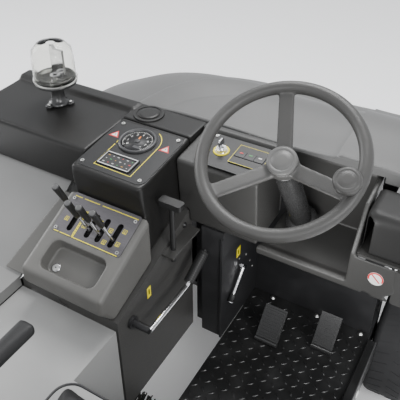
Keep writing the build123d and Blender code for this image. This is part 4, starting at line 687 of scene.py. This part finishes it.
# Wheels: black solid rubber tyres pressed on light grey steel rims, with a hub cover and wheel nuts.
# The two front ones turn on stub axles, the rear one in the steered fork.
tyre_rubber = plastic("tyre rubber", (0.022, 0.022, 0.023), 0.75, 400, 0.5, 0.2)
rim_paint = coated_steel("rim paint", (0.35, 0.35, 0.34), 0.4, 0.05)
for name, x, y, sides in (("front_wheel_left", -0.572, 0.64, (-1,)), ("front_wheel_right", 0.572, 0.64, (1,)),
                          ("rear_wheel", 0.0, -0.8, (-1, 1))):
    finish_node(name, tyre_rubber)
    for side in sides:
        tag = f"{name}_{'right' if side > 0 else 'left'}"
        centre = (x + side * 0.07, y, 0.2)
        lathe(tag + "_rim", [(0.1175, -0.001), (0.112, -0.004), (0.108, -0.022), (0.09, -0.0285),
                             (0.05, -0.0255), (0.0415, -0.012)],
              centre, (side, 0, 0), rim_paint, name, 48)
        lathe(tag + "_hub", [(0.040, -0.001), (0.036, 0.004), (0.02, 0.0065), (0.0165, 0.0065)], centre,
              (side, 0, 0), zinc, name, 32)
        for k in range(5):
            a = math.tau * k / 5
            nut = (centre[0] - side * 0.0275, y + 0.068 * math.cos(a), 0.2 + 0.068 * math.sin(a))
            lathe(f"{tag}_nut_{k + 1}", [(0.0085, 0), (0.0085, 0.008), (0.006, 0.01)], nut, (side, 0, 0),
                  zinc, name, 6, False)
    verts, faces = [], []
    for k in range(36):
        for s in (-1, 1):
            a = math.tau * (k + (0.5 if s > 0 else 0)) / 36
            base = len(verts)
            for r in (0.196, 0.2012):
                for w, da in ((0.008, 0.0), (0.05, 0.05), (0.05, 0.13), (0.008, 0.08)):
                    b = a + da
                    verts.append((x + s * w, y + r * math.cos(b), 0.2 + r * math.sin(b)))
            faces += [(base, base + 1, base + 2, base + 3), (base + 4, base + 5, base + 6, base + 7)]
            faces += [(base + i, base + (i + 1) % 4, base + 4 + (i + 1) % 4, base + 4 + i) for i in range(4)]
    new_piece(name + "_tread", verts, faces, tyre_rubber, name)

# Brushes: bunches of stiff bristle set in a tube for the roller, and in a sloping disc at the side.
bristle = plastic("bristle", (0.035, 0.034, 0.03), 0.6, 300, 0.4, 0.3)
random.seed(4)


def tufts(name, roots, mat, body, thick=0.0022):
    """Bristle bunches as thin three-sided spikes from root to tip."""
    verts, faces = [], []
    for root, tip in roots:
        along = (tip - root).normalized()
        side = along.orthogonal().normalized()
        other = along.cross(side)
        base = len(verts)
        for k in range(3):
            a = math.tau * k / 3
            verts.append(root + (side * math.cos(a) + other * math.sin(a)) * thick)
        for k in range(3):
            a = math.tau * k / 3
            verts.append(tip + (side * math.cos(a) + other * math.sin(a)) * thick * 0.8)
        faces += [(base + k, base + (k + 1) % 3, base + 3 + (k + 1) % 3, base + 3 + k) for k in range(3)]
        faces.append((base + 3, base + 4, base + 5))
    return new_piece(name, verts, faces, mat, body)


axle = Vector((0, -0.12, 0.166))
core = lathe("roller_core", [(0.015, -0.45), (0.015, -0.436), (0.085, -0.435), (0.085, 0.435),
                             (0.015, 0.436), (0.015, 0.45)],
             axle, (1, 0, 0), bristle, "main_brush", 40)
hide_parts("main_brush")
roots = []
for row in range(16):
    for k in range(110):
        x = -0.428 + 0.856 * k / 109
        a = math.tau * (row / 16 + 0.12 * abs(x) / 0.43) + random.uniform(-0.03, 0.03)
        out = Vector((random.uniform(-0.03, 0.03), math.cos(a), math.sin(a)))
        roots.append((axle + Vector((x, 0, 0)) + out * 0.083,
                      axle + Vector((x, 0, 0)) + out * random.uniform(0.152, 0.159)))
tufts("roller_bristles", roots, bristle, "main_brush", 0.003)
disc = Vector((0.5, 0.23, 0.155))
plate = lathe("side_brush_disc", [(0.0101, -0.038), (0.082, -0.036), (0.092, -0.03), (0.09, -0.022),
                                  (0.06, -0.006), (0.03, 0.0), (0.0101, 0.0)],
              disc, (0, 0, 1), dark_moulding, "side_brush", 48)
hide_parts("side_brush")
roots = []
for ring, (r0, r1) in enumerate(((0.06, 0.118), (0.07, 0.138), (0.08, 0.156))):
    for k in range(150):
        a = math.tau * (k + ring / 3) / 150
        a2 = a + random.uniform(-0.03, 0.03)
        low = random.uniform(0.006, 0.012)
        roots.append((disc + Vector((r0 * math.cos(a), r0 * math.sin(a), -0.034)),
                      Vector((disc.x + r1 * math.cos(a2), disc.y + r1 * math.sin(a2), low))))
tufts("side_bristles", roots, bristle, "side_brush", 0.0022)

# Seat: foam cushions under black grained vinyl, with a piped seam.
# The cushion sits on the slide's pan, the back on its upright plate; armrests are moulded foam.
vinyl = plastic("seat vinyl", (0.017, 0.017, 0.0175), 0.5, 650, 0.7, 0.15, 0.25)
thread = plastic("seam piping", (0.03, 0.03, 0.031), 0.45, 900, 0.3)


def foam(name, node, body, shrink, cap):
    """A stuffed pad blown up inside its CAD solid's space: it starts smaller by shrink, and no point
    moves further than cap."""
    low, high = (Vector(v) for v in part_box(node))
    centre, half = (low + high) / 2, (high - low) / 2 - Vector((shrink, shrink, shrink))
    bm = bmesh.new()
    bmesh.ops.create_cube(bm, size=2)
    for v in bm.verts:
        v.co = Vector((v.co.x * half.x, v.co.y * half.y, v.co.z * half.z))
    bmesh.ops.bevel(bm, geom=list(bm.edges), offset=min(half) * 0.55, segments=4, affect="EDGES", profile=0.5)
    for v in bm.verts:
        v.co += centre
    mesh = bpy.data.meshes.new(name)
    bm.to_mesh(mesh)
    bm.free()
    pad = bpy.data.objects.new(name, mesh)
    bpy.context.scene.collection.objects.link(pad)
    remesh = pad.modifiers.new("even", "REMESH")
    remesh.mode = "VOXEL"
    remesh.voxel_size = 0.006
    pad.data = bpy.data.meshes.new_from_object(pad.evaluated_get(bpy.context.evaluated_depsgraph_get()))
    pad.modifiers.clear()
    before = [v.co.copy() for v in pad.data.vertices]
    cloth = pad.modifiers.new("cloth", "CLOTH")
    cloth.settings.use_pressure = True
    cloth.settings.uniform_pressure_force = 4
    cloth.settings.effector_weights.gravity = 0
    for f in range(1, 21):
        bpy.context.scene.frame_set(f)
    blown = bpy.data.meshes.new_from_object(pad.evaluated_get(bpy.context.evaluated_depsgraph_get()))
    pad.modifiers.clear()
    pad.data = blown
    bpy.context.scene.frame_set(1)
    for v, rest in zip(pad.data.vertices, before):
        step = v.co - rest
        if step.length > cap:
            v.co = rest + step.normalized() * cap
    for v in pad.data.vertices:
        for i in range(3):
            v.co[i] = min(max(v.co[i], low[i] + 0.0005), high[i] + 0.004)
    soft = pad.modifiers.new("smooth", "SUBSURF")
    soft.levels = soft.render_levels = 1
    pad.data.materials.clear()
    pad.data.materials.append(vinyl)
    for p in pad.data.polygons:
        p.use_smooth = True
    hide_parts(node)
    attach(pad, body)
    return pad


foam("seat_cushion_foam", "seat_cushion", "seat", 0.010, 0.014)
foam("seat_back_foam", "seat_back", "seat", 0.010, 0.014)
for side in ("left", "right"):
    foam(f"armrest_{side}_foam", f"armrest_{side}", "seat", 0.004, 0.005)


def piping(name, points, radius, mat, body):
    """A round bead that follows a closed run of points."""
    line = bpy.data.curves.new(name, "CURVE")
    line.dimensions = "3D"
    line.bevel_depth = radius
    line.bevel_resolution = 3
    spline = line.splines.new("POLY")
    spline.points.add(len(points) - 1)
    for p, v in zip(spline.points, points):
        p.co = (*v, 1)
    spline.use_cyclic_u = True
    line.materials.append(mat)
    bead = bpy.data.objects.new(name, line)
    bpy.context.scene.collection.objects.link(bead)
    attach(bead, body)
    return bead


cushion_low, cushion_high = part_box("seat_cushion")
mid = ((cushion_low[0] + cushion_high[0]) / 2 * 1000, (cushion_low[1] + cushion_high[1]) / 2 * 1000)
size = ((cushion_high[0] - cushion_low[0]) * 1000 - 6, (cushion_high[1] - cushion_low[1]) * 1000 - 6)
piping("cushion_piping", [(u / 1000, v / 1000, cushion_high[2] - 0.022) for u,
                          v in rounded(*mid, *size, 42, 8)], 0.0028,
       thread, "seat")

# Round rubber-lipped cap in the dash top, pushed into its hole.
lathe("cap_disc", [(0.031, -0.0015), (0.0305, 0.0006), (0.02, 0.0009), (0.002, 0.0009)],
      (-0.180, 0.322, 1.0058), (0, 0, 1),
      dark_moulding, "chassis", 48)

# Hood details: a raised field with a soft edge on the left, and a rounded lip along the rear edge.
# Both are part of the moulding; here they're laid on the hood's skin and ride with the hopper.
graph = bpy.context.evaluated_depsgraph_get()
hood_skin = BVHTree.FromObject(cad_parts["hopper_hood"], graph)


def on_hood(x, y, rise):
    """The point above x, y on the hood's skin, raised by rise."""
    hit = hood_skin.ray_cast(Vector((x, y, 2)), Vector((0, 0, -1)))[0]
    return Vector((x, y, hit.z + rise))


knots = [Vector(p) for p in ((-0.262, 0.385), (-0.25, 0.43), (-0.225, 0.48), (-0.18, 0.53), (-0.12, 0.575),
                             (-0.05, 0.612), (0.03, 0.64))]
line = []
for a, b in zip(knots, knots[1:]):
    line += [a.lerp(b, k / 5) for k in range(5)]
verts, faces = [], []
across = ((-0.012, 0.0002), (-0.006, 0.0012), (0.0, 0.005), (0.006, 0.0075), (0.016, 0.008), (0.05, 0.005),
          (0.1, 0.0002))
for i, p in enumerate(line):
    ahead = (line[min(i + 1, len(line) - 1)] - line[max(i - 1, 0)]).normalized()
    inwards = Vector((ahead.y, -ahead.x))
    for distance, rise in across:
        q = p + inwards * distance
        verts.append(on_hood(q.x, max(q.y, 0.3765), rise))
n = len(across)
for i in range(len(line) - 1):
    faces += [(i * n + k, i * n + k + 1, i * n + n + k + 1, i * n + n + k) for k in range(n - 1)]
new_piece("hood_raised_edge", verts, faces, hood_panel, "hopper", True)
lip = bpy.data.curves.new("hood_lip", "CURVE")
lip.dimensions = "3D"
lip.bevel_depth = 0.006
run = lip.splines.new("POLY")
run.points.add(40)
for k, p in enumerate(run.points):
    p.co = (*on_hood(-0.24 + 0.76 * k / 40, 0.3785, -0.001), 1)
lip.materials.append(hood_panel)
bead = bpy.data.objects.new("hood_lip", lip)
bpy.context.scene.collection.objects.link(bead)
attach(bead, "hopper")

# Strip of sealing foam under the joint between the left cover and the deck, and a white reflector
# stuck on the sill's outer face.
foam_black = plastic("sealing foam", (0.012, 0.012, 0.012), 0.8, 300, 0.3)
seal = [(-0.330, -1.0, 0.6655), (-0.288, -1.0, 0.6655), (-0.288, -0.05, 0.6655), (-0.330, -0.05, 0.6655)]
new_piece("deck_seal", seal + [(x, y, 0.655) for x, y, z in seal],
          [(0, 1, 2, 3), (4, 5, 6, 7), (0, 1, 5, 4), (1, 2, 6, 5), (2, 3, 7, 6), (3, 0, 4, 7)], foam_black,
          "chassis")
lathe("sill_reflector", [(0.012, 0), (0.012, 0.002), (0.01, 0.003)], (0.5245, 0.25, 0.345), (1, 0, 0),
      white, "chassis", 24)

# Right end of the dash: the lower panel runs on outwards past its bend, and a ledge joins it to the fender.
# Both are the same moulding as the column pocket.
patch("right_panel_end", lambda u, v, w=0.0: Vector((u, 228 - w, v)) / 1000, rounded(600, 803, 96, 102, 8),
      pocket_grey, "chassis", 0, 6)
patch("fender_ledge", lambda u, v, w=0.0: Vector((u, v, 855 + w)) / 1000, rounded(552, 300, 196, 142, 10),
      pocket_grey, "chassis", 0, 6)

# Floor, light and camera: a plain pale floor, one even sky, four softboxes round the machine and a
# small one that reaches into the column pocket.
ground = bpy.data.meshes.new("studio_floor")
ground.from_pydata([(-60, -60, 0), (60, -60, 0), (60, 60, 0), (-60, 60, 0)], [], [(0, 1, 2, 3)])
floor = bpy.data.objects.new("studio_floor", ground)
bpy.context.scene.collection.objects.link(floor)
pale = plastic("pale floor", (0.97, 0.97, 0.97), 0.8, 3, 0.02, 0.01)
shader = pale.node_tree.nodes["Principled BSDF"]
shader.inputs["Emission Color"].default_value = (1, 1, 1, 1)
shader.inputs["Emission Strength"].default_value = 0.12
ground.materials.append(pale)
floor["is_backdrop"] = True

world = bpy.data.worlds.new("studio")
bpy.context.scene.world = world
world.use_nodes = True
world.node_tree.nodes["Background"].inputs["Color"].default_value = (0.95, 0.97, 1, 1)
world.node_tree.nodes["Background"].inputs["Strength"].default_value = 1.05


def softbox(name, place, target, size, power):
    """A square soft light aimed at a point."""
    data = bpy.data.lights.new(name, "AREA")
    data.size = size
    data.energy = power
    lamp = bpy.data.objects.new(name, data)
    bpy.context.scene.collection.objects.link(lamp)
    lamp.location = place
    lamp.rotation_euler = (Vector(target) - Vector(place)).to_track_quat("-Z", "Y").to_euler()


softbox("top light", (-0.3, 1.6, 3.6), (0.1, 0.1, 0.9), 1.6, 110)
softbox("left light", (-4.2, 0.2, 2.4), (0, 0, 0.8), 1.6, 90)
softbox("right light", (3.6, -1.6, 3.4), (0.2, 0, 0.8), 1.4, 110)
softbox("rear light", (0.9, -3.2, 2.2), (0.25, 0.2, 0.8), 1.2, 45)
softbox("pocket light", (0.34, 0.03, 0.91), (0.33, 0.42, 0.86), 0.16, 1.2)

camera_data = bpy.data.cameras.new("camera")
camera_data.sensor_width = 36
camera_data.lens = 607.2 / 400 * 36
camera_data.shift_y = -0.10
camera_data.clip_start = 0.05
camera = bpy.data.objects.new("camera", camera_data)
bpy.context.scene.collection.objects.link(camera)
pitch, yaw, roll = math.radians(34.59), math.radians(30.38), math.radians(-0.28)
ahead = Vector((-math.sin(yaw) * math.cos(pitch), math.cos(yaw) * math.cos(pitch), -math.sin(pitch)))
right = Vector((math.cos(yaw), math.sin(yaw), 0))
up = right.cross(ahead)
side = right * math.cos(roll) + up * math.sin(roll)
top = up * math.cos(roll) - right * math.sin(roll)
camera.matrix_world = Matrix((
    (side.x, top.x, -ahead.x, 0.6675), (side.y, top.y, -ahead.y, -0.8489),
    (side.z, top.z, -ahead.z, 1.8415), (0, 0, 0, 1)))
bpy.context.scene.camera = camera

low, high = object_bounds()
